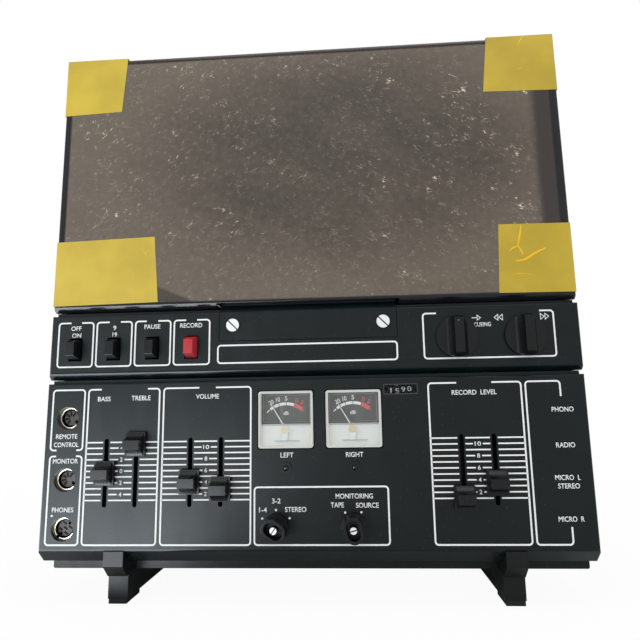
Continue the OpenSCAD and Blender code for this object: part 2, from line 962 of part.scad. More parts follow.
module key(x) at_face() {
  intersection() {
    translate([x, 0, key_z - key_l]) linear_extrude(2 * key_l) {
      polygon([[-key_w / 2, 0], [key_w / 2, 0], [key_face_w / 2, -key_proud], [-key_face_w / 2, -key_proud]]);
    }
    bar(x - key_w, x + key_w) polygon([[0, key_z - key_l / 2], [0, key_z + key_l / 2],
      [-key_proud, key_z + key_face_l / 2], [-key_proud, key_z - key_face_l / 2]]);
  }
  box([x - key_w / 2, 0, key_z - key_l / 2], [x + key_w / 2, key_root, key_z + key_l / 2]);
  box([x - key_stem_w / 2, key_root, key_z - key_stem_l / 2],
    [x + key_stem_w / 2, key_stem_y, key_z + key_stem_l / 2]);
}

module power_key() color([0.06, 0.06, 0.07]) key(key_xs[0]);

module speed_key() color([0.06, 0.06, 0.07]) key(key_xs[1]);

module pause_key() color([0.06, 0.06, 0.07]) key(key_xs[2]);

module record_key() color([0.75, 0.12, 0.16]) key(key_xs[3]);

module key_switches() color([0.30, 0.28, 0.24]) at_face() {
  difference() {
    box([key_xs[0] - switch_side, switch_y, key_z - switch_half],
      [key_xs[3] + switch_side, deck_y, key_z + switch_half]);
    for (x = key_xs) {
      box([x - key_stem_w / 2 - fit_gap, switch_y - over, key_z - key_stem_l / 2 - fit_gap],
        [x + key_stem_w / 2 + fit_gap, switch_end, key_z + key_stem_l / 2 + fit_gap]);
    }
  }
}

module grip_knob(x) at_face() translate([x, 0, grip_z]) {
  rod(0, 0, grip_d / 2, -grip_disc, -grip_gap);
  intersection() {
    rod(0, 0, grip_d / 2 - grip_in, -grip_h, -grip_gap);
    difference() {
      box([-grip_base_w / 2, -grip_h, -grip_d / 2], [grip_base_w / 2, -grip_gap, grip_d / 2]);
      for (s = [-1, 1]) {
        translate([s * (grip_top_w / 2 + grip_flank), -grip_h, -grip_d / 2 - over]) {
          cylinder(r = grip_flank, h = grip_d + 2 * over);
        }
        // Slanted ends of the grip.
        translate([0, -grip_h, s * (grip_d / 2 + grip_end)]) rotate([s * grip_tilt, 0, 0]) {
          cube([2 * grip_base_w, grip_d, grip_cut], center = true);
        }
      }
    }
  }
  rod(0, 0, shaft_r, -grip_gap - over, shaft_back);
}

module start_knob() color([0.05, 0.05, 0.06]) grip_knob(start_x);

module wind_knob() color([0.05, 0.05, 0.06]) grip_knob(wind_x);

module selector_knob(x, turn) at_face() translate([x, 0, selector_z]) rotate([0, -turn, 0]) {
  difference() {
    union() {
      rod(0, 0, selector_d / 2, -skirt_t, -selector_gap);
      slab(-selector_h, -skirt_t) stadium(bar_w, bar_l);
    }
    slab(-selector_h - over, bar_recess - selector_h) stadium(bar_w - 2 * bar_rim, bar_l - 2 * bar_rim);
    rod(0, 0, stud_r, -selector_h, over);
  }
}

module track_knob() color([0.05, 0.05, 0.06]) selector_knob(track_x, track_turn);

module monitor_knob() color([0.05, 0.05, 0.06]) selector_knob(monitor_x, monitor_turn);

module selector_shaft(x, turn) at_face() translate([x, 0, selector_z]) rotate([0, -turn, 0]) {
  difference() {
    rod(0, 0, stud_r, -shaft_front, shaft_back);
    translate([0, -shaft_front, 0]) cube([2 * stud_r + over, shaft_slot_d, shaft_slot], center = true);
  }
}

module track_shaft() color([0.82, 0.83, 0.84]) selector_shaft(track_x, track_turn);

module monitor_shaft() color([0.82, 0.83, 0.84]) selector_shaft(monitor_x, monitor_turn);

module rotary_switches() color([0.38, 0.36, 0.30]) at_face() {
  for (p = [[track_x, selector_z, stud_r], [monitor_x, selector_z, stud_r],
      [start_x, grip_z, shaft_r], [wind_x, grip_z, shaft_r]]) {
    difference() {
      rod(p[0], p[1], rotary_r, wall, rotary_y);
      rod(p[0], p[1], p[2] + run_gap, wall - over, shaft_back + 1);
    }
  }
}

// Meters, lamps, sockets and counter

module meter_cases() color([0.85, 0.86, 0.85]) at_face() {
  for (x = meter_xs) {
    difference() {
      slab(meter_case_y, meter_back) translate([x, meter_z]) rrect(meter_w, meter_h, meter_r);
      // Inside of the case, behind the scale and the lower mask.
      slab(meter_case_y + mask_t, meter_back - meter_wall) translate([x, meter_z]) {
        square([meter_w - 2 * meter_wall, meter_h - 2 * meter_wall], center = true);
      }
      // Open front over the scale.
      box([x - meter_w / 2 + meter_wall, meter_case_y - over, mask_top],
        [x + meter_w / 2 - meter_wall, meter_case_y + mask_t + over, meter_z + meter_h / 2 - meter_wall]);
    }
    // Movement with the bore for the needle's pivot.
    difference() {
      rod(x, pivot_z, core_r, core_y, meter_back - meter_wall / 2);
      rod(x, pivot_z, pivot_r + run_gap, core_y - over, core_back);
    }
  }
}

module meter_scales() color([0.12, 0.13, 0.14]) at_face() {
  for (x = meter_xs) {
    box([x - meter_w / 2 + meter_wall, scale_y, mask_top - scale_lap],
      [x + meter_w / 2 - meter_wall, scale_y + scale_t, meter_z + meter_h / 2 - meter_wall]);
  }
}

module meter_windows() color([0.85, 0.88, 0.90, 0.25]) at_face() {
  for (x = meter_xs) {
    difference() {
      slab(window_y, meter_case_y) translate([x, meter_z]) rrect(meter_w, meter_h, meter_r);
      slab(window_y + window_t, meter_case_y + over) translate([x, meter_z]) {
        square([meter_w - 2 * meter_wall, meter_h - 2 * meter_wall], center = true);
      }
    }
  }
}

module needle(x) at_face() translate([x, 0, pivot_z]) rotate([0, -needle_turn, 0]) {
  slab(needle_y, needle_y + needle_t) polygon([[-needle_root, -needle_tail], [needle_root, -needle_tail],
    [needle_tip, needle_l], [-needle_tip, needle_l]]);
  rod(0, 0, needle_hub_r, needle_y - 0.3, needle_y + 1);
  rod(0, 0, pivot_r, needle_y, core_back - 1);
}

module needle_left() color([0.88, 0.88, 0.85]) needle(meter_xs[0]);

module needle_right() color([0.88, 0.88, 0.85]) needle(meter_xs[1]);

module lamp_bezels() color([0.10, 0.10, 0.11]) at_face() {
  for (x = meter_xs) {
    difference() {
      union() {
        rod(x, lamp_z, lamp_r, -lamp_rim, 0);
        rod(x, lamp_z, lamp_tube_r, -lamp_rim / 2, lamp_tube_l);
      }
      rod(x, lamp_z, lens_r + run_gap, -lamp_rim - over, lamp_tube_l + over);
    }
  }
}

module lamp_lenses() color([0.28, 0.05, 0.05]) at_face() {
  for (x = meter_xs) {
    rod(x, lamp_z, lens_r, 0.2, lens_l);
    intersection() {
      translate([x, dome_r - 0.6, lamp_z]) sphere(r = dome_r);
      rod(x, lamp_z, lens_r, -over, over);
    }
  }
}

// A round socket opening towards -Y, with its mouth at the origin and its key notches.
module din_shell(notches) {
  difference() {
    union() {
      difference() {
        rod(0, 0, din_flange_r, wall, wall + din_flange_t);
        rod(0, 0, din_hole_d / 2, wall - over, shell_front + din_groove);
      }
      rod(0, 0, shell_r, shell_front, shell_y);
    }
    rod(0, 0, shell_in_r, wall - over, shell_back);
    for (a = notches) {
      rotate([0, -a, 0]) {
        box([shell_in_r - 0.4, din_recess - 2, -notch_half], [shell_r + over, din_recess + 3, notch_half]);
      }
    }
  }
}

// The insulating middle of a socket, with its contact slots and key grooves.
module din_insert(slots, notches) {
  difference() {
    rod(0, 0, insert_r, insert_front, shell_back);
    for (p = slots) {
      slab(insert_front - over, insert_front + contact_d) translate([p[0], p[1]]) rotate(p[2]) {
        stadium(contact_w, contact_l);
      }
    }
    for (a = notches) {
      rotate([0, -a, 0]) {
        box([insert_r - groove_d, insert_front - over, -groove_half],
          [insert_r + over, insert_front + 3, groove_half]);
      }
    }
  }
}

module at_sockets_front(i) {
  translate([din_x, 0, din_zs[i]]) children();
}

module at_sockets_side(i) {
  translate([half_w, side_y, side_zs[i]]) rotate([0, 0, 90]) children();
}

module din_shells() color([0.70, 0.70, 0.72]) at_face() {
  for (i = [0 : 2]) {
    at_sockets_front(i) din_shell(i == 2 ? cross_notches : fan_notch);
  }
  for (i = [0 : 3]) {
    at_sockets_side(i) din_shell(fan_notch);
  }
}

module din_inserts() color([0.36, 0.32, 0.29]) at_face() {
  for (i = [0 : 2]) {
    at_sockets_front(i) din_insert(i == 2 ? cross_slots : fan_slots, i == 2 ? cross_notches : fan_notch);
  }
  for (i = [0 : 3]) {
    at_sockets_side(i) din_insert(fan_slots, fan_notch);
  }
}

module counter_frame() color([0.08, 0.08, 0.09]) at_face() {
  side = counter_w / 2 + counter_side;
  difference() {
    box([counter_x - side, wall, counter_z - wheel_r - 1],
      [counter_x + side, counter_back, counter_z + wheel_r + 0.5]);
    box([counter_x - counter_w / 2, wall - over, counter_z - 2 * wheel_r],
      [counter_x + counter_w / 2, counter_back - counter_side, counter_z + 2 * wheel_r]);
    translate([counter_x - side - over, wheel_y, counter_z]) rotate([0, 90, 0]) {
      cylinder(r = counter_shaft_r, h = 2 * side + 2 * over);
    }
  }
}

module counter_wheel(i) {
  translate([counter_x + (i - 1.5) * wheel_pitch - wheel_w / 2, wheel_y, counter_z]) rotate([0, 90, 0]) {
    cylinder(r = wheel_r, h = wheel_w);
  }
}

module counter_wheels() color([0.04, 0.04, 0.04]) at_face() {
  side = counter_w / 2 + counter_side;
  for (i = [0 : 2]) {
    counter_wheel(i);
  }
  translate([counter_x - side, wheel_y, counter_z]) rotate([0, 90, 0]) {
    cylinder(r = counter_shaft_r, h = 2 * side);
  }
}

module counter_unit_wheel() color([0.04, 0.04, 0.04]) at_face() {
  difference() {
    counter_wheel(3);
    translate([counter_x, wheel_y, counter_z]) rotate([0, 90, 0]) {
      cylinder(r = counter_shaft_r + run_gap, h = counter_w);
    }
  }
}

// Tape transport

module reel_table(x) at_face() {
  rod(x, spindle_z, table_d / 2, table_y, table_y + table_t);
  rod(x, spindle_z, table_hub_r, table_y + table_t, table_hub_y);
  rod(x, spindle_z, table_shaft_r, table_y, drum_back);
  rod(x, spindle_z, drum_r, drum_y, drum_back);
  rod(x, spindle_z, table_boss_r, table_y - table_boss_t, table_y);
  // Spindle with a stepped tip, a plain pin and three fins at its root.
  rod(x, spindle_z, spindle_r, spindle_front + tip_l, fin_front);
  rod(x, spindle_z, root_r, fin_front - over, table_y);
  rod(x, spindle_z, spindle_r - 1, spindle_front, spindle_front + tip_l + over);
  for (a = [0, 120, 240]) {
    translate([x, 0, spindle_z]) rotate([0, a, 0]) {
      box([-fin_w / 2, fin_front + fin_step, 0], [fin_w / 2, table_y - fin_step, fin_r]);
    }
  }
}

module supply_table() color([0.16, 0.16, 0.17]) reel_table(-spindle_x);

module takeup_table() color([0.16, 0.16, 0.17]) reel_table(spindle_x);

module reel_bearings() color([0.60, 0.60, 0.62]) at_face() {
  for (s = [-1, 1]) {
    difference() {
      union() {
        rod(s * spindle_x, spindle_z, bearing_r, bearing_y, bearing_back);
        rod(s * spindle_x, spindle_z, bearing_flange_r, deck_back, deck_back + bearing_flange_t);
      }
      rod(s * spindle_x, spindle_z, table_shaft_r + run_gap, bearing_y - over, bearing_back + over);
    }
  }
}

module capstan() color([0.80, 0.80, 0.82]) at_face() {
  rod(capstan_x, capstan_z, capstan_r, capstan_front, flywheel_back + 2);
}

module flywheel() color([0.50, 0.48, 0.44]) at_face() {
  difference() {
    union() {
      rod(capstan_x, capstan_z, flywheel_r, flywheel_y, flywheel_back);
      rod(capstan_x, capstan_z, flywheel_hub_r, flywheel_y - 2, flywheel_y);
    }
    rod(capstan_x, capstan_z, flywheel_r - flywheel_rim, flywheel_y + flywheel_web, flywheel_back + over);
    rod(capstan_x, capstan_z, capstan_r, flywheel_y - 2 - over, flywheel_back + over);
  }
  difference() {
    rod(capstan_x, capstan_z, flywheel_hub_r + 1, flywheel_y + flywheel_web, flywheel_back);
    rod(capstan_x, capstan_z, capstan_r, flywheel_y, flywheel_back + over);
  }
}

module capstan_bearing() color([0.68, 0.60, 0.38]) at_face() {
  difference() {
    union() {
      rod(capstan_x, capstan_z, capstan_bearing_r, head_plate_y - 3, flywheel_y - 4);
      rod(capstan_x, capstan_z, bearing_flange_r, deck_back, deck_back + bearing_flange_t);
    }
    rod(capstan_x, capstan_z, capstan_r + run_gap, head_plate_y - 4, flywheel_y);
  }
}

module pinch_arm() color([0.66, 0.67, 0.68]) at_face() {
  run = arm_pivot_x - roller_x;
  drop = arm_pivot_z - roller_z;
  length = sqrt(run * run + drop * drop);
  slab(arm_plate_y, arm_plate_y + arm_plate_t) difference() {
    translate([roller_x + run / 2, roller_z + drop / 2]) rotate(atan2(drop, run) - 90) {
      stadium(2 * arm_half, length + 2 * arm_half);
    }
    translate([arm_pivot_x, arm_pivot_z]) circle(r = arm_pin_r + run_gap);
  }
  rod(roller_x, roller_z, roller_pin_r, roller_y - 2, arm_plate_y + 1);
}

module pinch_roller() color([0.07, 0.07, 0.07]) at_face() {
  difference() {
    rod(roller_x, roller_z, roller_r, roller_y, roller_y + roller_w);
    rod(roller_x, roller_z, roller_pin_r + run_gap, roller_y - over, roller_y + roller_w + over);
  }
}

module motor() color([0.45, 0.46, 0.48]) at_face() {
  difference() {
    union() {
      slab(deck_back, deck_back + motor_plate_t) translate([motor_x, motor_z]) {
        rrect(motor_plate_w, motor_plate_w, motor_plate_r);
      }
      rod(motor_x, motor_z, motor_r, deck_back + motor_plate_t, motor_back);
      rod(motor_x, motor_z, motor_nose_r, motor_back, motor_back + motor_nose_l);
    }
    rod(motor_x, motor_z, motor_shaft_r + run_gap, motor_bore_y, motor_back + motor_nose_l + over);
  }
}

module motor_pulley() color([0.72, 0.64, 0.40]) at_face() {
  rod(motor_x, motor_z, motor_shaft_r, motor_bore_y + 2, pulley_back);
  rod(motor_x, motor_z, pulley_r, pulley_y, pulley_back);
}

// Points of a loop round two circles, the first at the origin, the second along X.
function loop_points(big, small, apart) =
  let (lean = acos((big - small) / apart), far = 360 - 2 * lean)
  concat([for (i = [0 : belt_steps]) polar(big, lean + i * far / belt_steps)],
    [for (i = [0 : belt_steps / 2]) [apart, 0] + polar(small, 4 * i * lean / belt_steps - lean)]);

module drive_belt() color([0.05, 0.05, 0.05]) at_face() {
  dx = motor_x - capstan_x;
  dz = motor_z - capstan_z;
  apart = sqrt(dx * dx + dz * dz);
  big = flywheel_r + belt_gap;
  small = pulley_r + belt_gap;
  slab(belt_y, belt_back) translate([capstan_x, capstan_z]) rotate(atan2(dz, dx)) difference() {
    polygon(loop_points(big + belt_t, small + belt_t, apart));
    polygon(loop_points(big, small, apart));
  }
}

// Electrics

module transformer() color([0.35, 0.33, 0.30]) at_face() {
  mid = floor_z + core_size / 2;
  box([core_l, core_front, floor_z], [core_l + core_size, core_front + core_stack, floor_z + core_size]);
  // The winding stands out of the core at the front and the back.
  box([core_l + core_leg, core_front - coil_out, mid - coil_half],
    [core_l + core_size - core_leg, core_front + core_stack + coil_out, mid + coil_half]);
}

module circuit_boards() color([0.42, 0.34, 0.14]) at_face() {
  parts_y = board_y + board_t;
  box([board_l, board_y, floor_z], [board_r, parts_y, panel_h - board_drop]);
  for (i = [0 : 5]) {
    rod(capacitor_x + i * capacitor_step, capacitor_z, capacitor_r, parts_y, parts_y + capacitor_l);
  }
  for (i = [0 : 3]) {
    x = can_x + i * can_step;
    box([x, parts_y, can_z], [x + can_w, parts_y + can_l, can_z + can_h]);
  }
}

module mains_inlet() color([0.07, 0.07, 0.08]) at_face() {
  front = case_back - inlet_l;
  hole_w = inlet_w - 2 * inlet_wall;
  hole_h = inlet_h - 2 * inlet_wall;
  difference() {
    union() {
      slab(front, case_back) translate([inlet_x, inlet_z]) rrect(inlet_w, inlet_h, inlet_r);
      slab(cover_y - inlet_flange_t, cover_y) translate([inlet_x, inlet_z]) {
        rrect(inlet_w + 2 * inlet_flange, inlet_h + 2 * inlet_flange, inlet_r + 1);
      }
    }
    slab(front + wall, case_back + over) translate([inlet_x, inlet_z]) rrect(hole_w, hole_h, inlet_r);
  }
  for (s = [-1, 1]) {
    rod(inlet_x + s * inlet_pin_x, inlet_z, inlet_pin_r, front + wall - over, case_back - inlet_pin_in);
  }
}

rear_case();
back_cover();
case_screws();
front_panel();
transport_strip();
deck_plate();
head_cover();
head_cover_screws();
head_plate();
tape_heads();
tape_guides();
lid();
lid_hinges();
runner_feet();
foot_pads();
bass_slider();
treble_slider();
volume_left_slider();
volume_right_slider();
level_left_slider();
level_right_slider();
slide_controls();
power_key();
speed_key();
pause_key();
record_key();
key_switches();
start_knob();
wind_knob();
track_knob();
track_shaft();
monitor_knob();
monitor_shaft();
rotary_switches();
meter_cases();
meter_scales();
meter_windows();
needle_left();
needle_right();
lamp_bezels();
lamp_lenses();
din_shells();
din_inserts();
counter_frame();
counter_wheels();
counter_unit_wheel();
supply_table();
takeup_table();
reel_bearings();
capstan();
flywheel();
capstan_bearing();
pinch_arm();
pinch_roller();
motor();
motor_pulley();
drive_belt();
transformer();
circuit_boards();
mains_inlet();
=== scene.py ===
# Looks of the upright reel-to-reel tape recorder, on the frame of its solids.
import json
import math

import bpy
from mathutils import Matrix, Vector

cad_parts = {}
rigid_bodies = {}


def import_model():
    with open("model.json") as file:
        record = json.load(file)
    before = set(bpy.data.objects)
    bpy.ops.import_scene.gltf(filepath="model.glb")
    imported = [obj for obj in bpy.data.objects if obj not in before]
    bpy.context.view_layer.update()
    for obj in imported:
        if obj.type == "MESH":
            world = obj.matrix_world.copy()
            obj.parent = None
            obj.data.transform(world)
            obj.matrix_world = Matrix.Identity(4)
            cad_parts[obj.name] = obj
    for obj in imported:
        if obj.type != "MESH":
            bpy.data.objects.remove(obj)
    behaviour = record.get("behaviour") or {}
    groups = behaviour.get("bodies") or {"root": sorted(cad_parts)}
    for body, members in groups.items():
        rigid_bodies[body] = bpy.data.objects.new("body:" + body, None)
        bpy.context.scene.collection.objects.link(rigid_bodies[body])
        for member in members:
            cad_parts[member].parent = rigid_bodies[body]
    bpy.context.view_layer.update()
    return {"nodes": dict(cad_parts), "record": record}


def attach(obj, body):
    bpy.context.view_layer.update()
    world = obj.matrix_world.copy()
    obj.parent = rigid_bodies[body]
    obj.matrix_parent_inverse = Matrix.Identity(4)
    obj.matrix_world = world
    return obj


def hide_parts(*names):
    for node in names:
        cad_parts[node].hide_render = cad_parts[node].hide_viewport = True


for leftover in list(bpy.data.objects):
    bpy.data.objects.remove(leftover)
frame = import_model()
nodes = frame["nodes"]
body_of_node = {n: b for b, held in frame["record"]["behaviour"]["bodies"].items() for n in held}

# Lengths below are in millimetres, from the panel's face (Y) and the foot of its flat front (Z).
MM = 0.001
FACE_Y = -79.25
FOOT_Z = 40.1


# ---------------------------------------------------------------- finishes

class Value:
    """A socket of a finish. Arithmetic on it adds Math nodes."""

    def __init__(self, finish, socket):
        self.finish = finish
        self.socket = socket

    def math(self, operation, *others):
        return self.finish.node("ShaderNodeMath", {"operation": operation}, dict(enumerate((self,) + others)))

    def __add__(self, other):
        return self.math("ADD", other)

    __radd__ = __add__

    def __mul__(self, other):
        return self.math("MULTIPLY", other)

    __rmul__ = __mul__

    def __sub__(self, other):
        return self.math("SUBTRACT", other)

    def __rsub__(self, other):
        return self.math("MULTIPLY", -1.0) + other

    def __gt__(self, other):
        return self.math("GREATER_THAN", other)

    def __lt__(self, other):
        return self.math("LESS_THAN", other)

    def ridge(self):
        """Thin crests where a noise passes its middle."""
        return 1 - (self * 2 - 1).math("ABSOLUTE")

    def soft(self, low, high):
        """A soft step from 0 at low to 1 at high."""
        return self.finish.node("ShaderNodeMapRange", {"interpolation_type": "SMOOTHSTEP"},
                                {"Value": self, "From Min": low, "From Max": high})


class Nodes:
    """A node tree and the one way of adding to it."""

    def __init__(self, tree):
        self.tree = tree

    def node(self, kind, settings, sockets, out=0):
        made = self.tree.nodes.new(kind)
        for key, value in settings.items():
            setattr(made, key, value)
        for key, value in sockets.items():
            self.link(value, made.inputs[key])
        return Value(self, made.outputs[out])

    def link(self, value, socket):
        if isinstance(value, Value):
            self.tree.links.new(value.socket, socket)
        else:
            socket.default_value = value

    def mirrored(self):
        """1 for what shows in gloss or through a clear piece."""
        path = [self.node("ShaderNodeLightPath", {}, {}, "Is %s Ray" % kind) for kind in ("Glossy", "Transmission")]
        return path[0].math("MAXIMUM", path[1])

    def seen(self):
        """1 for what the camera sees straight, in gloss or through a clear piece."""
        return self.node("ShaderNodeLightPath", {}, {}, "Is Camera Ray").math("MAXIMUM", self.mirrored())


class Finish(Nodes):
    """A procedural material: a Principled shader and the nodes that feed it."""

    def __init__(self, name, **fixed):
        self.material = bpy.data.materials.new(name)
        self.material.use_nodes = True
        super().__init__(self.material.node_tree)
        self.shader = self.tree.nodes["Principled BSDF"]
        self.place = self.node("ShaderNodeTexCoord", {}, {}, "Object")
        for key, value in fixed.items():
            self.feed(key.replace("_", " "), value)

    def axis(self, name):
        """Place along X, Y or Z in millimetres, counted as the lengths in this file are."""
        zero = {"X": 0, "Y": FACE_Y, "Z": FOOT_Z}[name]
        return self.node("ShaderNodeSeparateXYZ", {}, {0: self.place}, name) * 1000 - zero

    def feed(self, socket, value):
        self.link(value, self.shader.inputs[socket])

    def noise(self, scale, detail=2.0, stretch=(1, 1, 1), warp=0.0, tilt=0.0):
        """Noise with its cells drawn out along each axis, the axes tilted about Y."""
        where = self.node("ShaderNodeMapping", {"vector_type": "TEXTURE"}, {
            "Vector": self.place, "Rotation": (0, tilt, 0), "Scale": tuple(1 / s for s in stretch)})
        return self.node("ShaderNodeTexNoise", {}, {"Vector": where, "Scale": scale, "Detail": detail,
                                                    "Distortion": warp}, "Fac")

    def specks(self, scale, size, rarity):
        """Small round specks, in one cell out of many."""
        sockets = {"Vector": self.place, "Scale": scale}
        near = self.node("ShaderNodeTexVoronoi", {}, sockets, "Distance")
        chance = self.node("ShaderNodeTexVoronoi", {}, sockets, "Color")
        return (near < size) * (chance > rarity)

    def beyond(self, front, side=None):
        """1 behind a depth from the front face, and inside a width from the right-hand side."""
        mask = self.axis("Y").soft(front, front + 0.2)
        return mask * self.axis("X").soft(side, side - 0.2) if side else mask

    def mix(self, mask, first, second):
        return self.node("ShaderNodeMix", {"data_type": "RGBA"}, {0: mask, 6: shade(first), 7: shade(second)}, 2)

    def bump(self, height, strength, distance):
        self.feed("Normal", self.node("ShaderNodeBump", {}, {
            "Height": height, "Strength": strength, "Distance": distance * MM}))


# Black painted into hollows and slots past a given depth, as painted shade.
BLACK = (0.002, 0.002, 0.002)


def shade(color):
    return color if isinstance(color, Value) else (*color, 1.0)


def moulded(name, dark, light, rough, grain=2200, depth=0.05, level=0.25, dust=0.5, inside=None, lips=(), sides=0.0):
    """Moulded plastic: cloudy colour, fine grain, handling marks and a little dust.

    Its lips are rubbed smooth, and its sides are left rougher than its face.
    """
    f = Finish(name, Specular_IOR_Level=level)
    cloud = f.noise(26, 3).soft(0.3, 0.7)
    fine = f.noise(grain, 2)
    rub = f.noise(75, 4, (1, 1, 0.3)).soft(0.45, 0.75)
    dirt = f.specks(330, 0.075, 0.74) * dust
    color = f.mix(dirt, f.mix(cloud, dark, light), (0.2, 0.2, 0.19))
    # Past a given depth the colour is painted black: painted shade deep in holes.
    f.feed("Base Color", f.mix(f.beyond(*inside), color, BLACK) if inside else color)
    rough = rough + 0.09 * rub + 0.12 * (fine - 0.5) + 0.2 * dirt
    if sides:
        rough = rough + 0.3 * (f.axis("X").math("ABSOLUTE") > sides)
    for low, high in lips:
        rough = rough - 0.17 * f.axis("Z").soft(low - 0.3, low + 0.3) * f.axis("Z").soft(high + 0.3, high - 0.3)
    f.feed("Roughness", rough)
    f.bump(fine, 0.35, depth)
    return f.material


def metal(name, color, rough, stretch=(1, 1, 1), grain=900, tarnish=(0.5, 0.47, 0.42), inside=None):
    """Worked metal: drawn or turned marks, dull patches and a little tarnish. Past a given depth, as in its slots, it
    is painted black as painted shade.
    """
    f = Finish(name, Metallic=1.0)
    marks = f.noise(grain, 3, stretch)
    dull = f.noise(55, 4).soft(0.5, 0.8)
    bare = f.mix(0.45 * dull, color, tarnish)
    if inside:
        # Painted shade: black past the given depth.
        painted_slot_shade = f.beyond(*inside)
        bare = f.mix(painted_slot_shade, bare, BLACK)
        f.feed("Metallic", 1 - painted_slot_shade)
    f.feed("Base Color", bare)
    f.feed("Roughness", rough + 0.14 * dull + 0.16 * (marks - 0.5))
    f.bump(marks, 0.25, 0.02)
    return f.material


def smoked_acrylic():
    """Brown smoked sheet: a pale, crinkled inside with curved glints painted into its colour as highlights, clear dark
    margins, and a polished edge darkened as painted shade.
    """
    f = Finish("smoked_acrylic", Specular_IOR_Level=0.3)
    x, z = f.axis("X"), f.axis("Z")
    # Paler towards the outside, cloudy, finely mottled, with small rings and long folds.
    across, up = (x - 25) * (1 / 190), (z - 305) * (1 / 105)
    outer = (across * across + up * up).soft(0.15, 1.1)
    cloud = f.noise(11, 3).soft(0.3, 0.72)
    mottle = f.noise(190, 4).soft(0.3, 0.75)
    cells = {"Vector": f.place, "Scale": 92, "Randomness": 0.35}
    ring = 1 - ((f.node("ShaderNodeTexVoronoi", {}, cells, "Distance") - 0.36) * 11).math("ABSOLUTE")
    ring = ring.soft(0.0, 0.9) * f.noise(14, 2).soft(0.42, 0.62)
    left = x.soft(70, -70)
    fold = f.noise(9, 3, (0.55, 1, 2.0), 0.9, 0.35).ridge().soft(0.80, 0.985)
    patch = f.noise(34, 2).soft(0.42, 0.62)

    def strokes(tilt):
        """Short curved lines for the painted glints, tilted one way."""
        line = f.noise(560, 0.0, (0.42, 1, 1.1), 0.4, tilt).ridge().soft(0.90, 0.99)
        return line * f.noise(260, 1.0, (0.7, 1, 1), 0.0, tilt).soft(0.50, 0.60)

    # Painted highlights: glints lean one way on the left and the other way on the right, and are brightest on the
    # folds.
    glint_strokes = strokes(-0.6) * left + strokes(0.45) * (1 - left)
    glint = glint_strokes * (0.09 + 0.10 * patch + f.noise(150, 1.0).soft(0.52, 0.62) * (0.06 + 0.85 * fold * patch))
    # Clear margins without glints: the right-hand side, a wedge at the lower left, the rail at the top, the edges.
    wedge = 0.7 * ((-86 - x) * 0.42 - (z - 186)).soft(-1.5, 2) * x.soft(-126, -122)
    margin = x.soft(179, 188).math("MAXIMUM", wedge)
    # The outer edges and the lower lip are painted near black: painted shade of the side walls and lip seen through
    # the sheet.
    edge = x.soft(196.5, 198.5).math("MAXIMUM", x.soft(-197.5, -199.5))
    edge = edge.math("MAXIMUM", z.soft(399.4, 400.2)).math("MAXIMUM", z.soft(188.0, 186.4))
    rail = z.soft(395.4, 396.6)
    clear = 1 - margin.math("MAXIMUM", edge).math("MAXIMUM", rail)
    body = f.mix(outer, (0.053, 0.044, 0.034), (0.140, 0.113, 0.087))
    body = f.mix(0.35 * cloud, body, (0.126, 0.102, 0.080))
    body = f.mix(0.14 * mottle + 0.10 * ring + 0.10 * fold, body, (0.20, 0.163, 0.130))
    body = f.mix(margin, body, (0.046, 0.037, 0.034))
    body = f.mix(rail, body, (0.034, 0.024, 0.019))
    # Painted shade at the edges and the lower lip.
    body = f.mix(edge, body, (0.008, 0.0085, 0.011))
    f.feed("Base Color", f.mix(clear * glint, body, (0.90, 0.76, 0.62)))
    f.feed("Roughness", 0.16 + clear * (0.22 + 0.12 * mottle))
    f.feed("Alpha", 0.93 + 0.05 * mottle)
    f.bump(clear * (mottle + 0.8 * ring + 2 * glint), 0.25, 0.10)
    return f.material


def packing_tape(name, low, high):
    """Yellow adhesive tape with pressed-out air marks."""
    f = Finish(name, Specular_IOR_Level=0.35)
    cloud = f.noise(26, 4).soft(0.3, 0.7)
    pores = f.noise(420, 3)
    bubble = f.specks(150, 0.12, 0.80)
    f.feed("Base Color", f.mix(0.5 * bubble, f.mix(cloud, low, high), (0.80, 0.56, 0.06)))
    f.feed("Roughness", 0.42 + 0.2 * pores - 0.15 * bubble)
    f.bump(0.5 * pores + cloud + 0.6 * bubble, 0.3, 0.12)
    return f.material


def print_ink(name, color, worn):
    """Screen-printed ink with slightly thin spots."""
    f = Finish(name, Specular_IOR_Level=0.3)
    thin = f.noise(900, 3).soft(0.52, 0.8)
    f.feed("Base Color", f.mix(0.4 * thin, color, worn))
    f.feed("Roughness", 0.5 + 0.2 * thin)
    f.bump(thin, 0.15, 0.01)
    return f.material


# Middles of the two meters, and half the width and height of their windows.
METER_XS = (-17.4, 33.8)
METER_Z = 94.1
METER_HALF = (20.75, 21.2)


def clear_sheet(name, color, haze, wall=0.0, rims=()):
    """Clear moulded window with faint wiping marks. Its side walls and rim are cloudier than its face."""
    f = Finish(name, Base_Color=(*color, 1), Specular_IOR_Level=0.5)
    wipe = f.noise(160, 4, (1, 1, 0.2)).soft(0.5, 0.8)
    f.feed("Roughness", 0.06 + 0.12 * wipe)
    cloudy = f.axis("Y").soft(0.62, 0.75)
    if rims:
        inward = [(f.axis("X") - x).math("ABSOLUTE") for x in rims]
        out = (inward[0].math("MINIMUM", inward[1]) - METER_HALF[0]).math(
            "MAXIMUM", (f.axis("Z") - METER_Z).math("ABSOLUTE") - METER_HALF[1])
        cloudy = cloudy.math("MAXIMUM", out.soft(-2.1, -1.5))
    f.feed("Alpha", haze + 0.04 * wipe + wall * cloudy)
    return f.material


def meter_white():
    """Opal white moulding, a little yellowed in places."""
    f = Finish("meter_white", Specular_IOR_Level=0.4)
    cloud = f.noise(70, 3).soft(0.35, 0.7)
    fine = f.noise(1500, 2)
    f.feed("Base Color", f.mix(cloud, (0.69, 0.74, 0.73), (0.74, 0.75, 0.70)))
    f.feed("Roughness", 0.38 + 0.15 * fine)
    f.bump(fine, 0.1, 0.02)
    return f.material


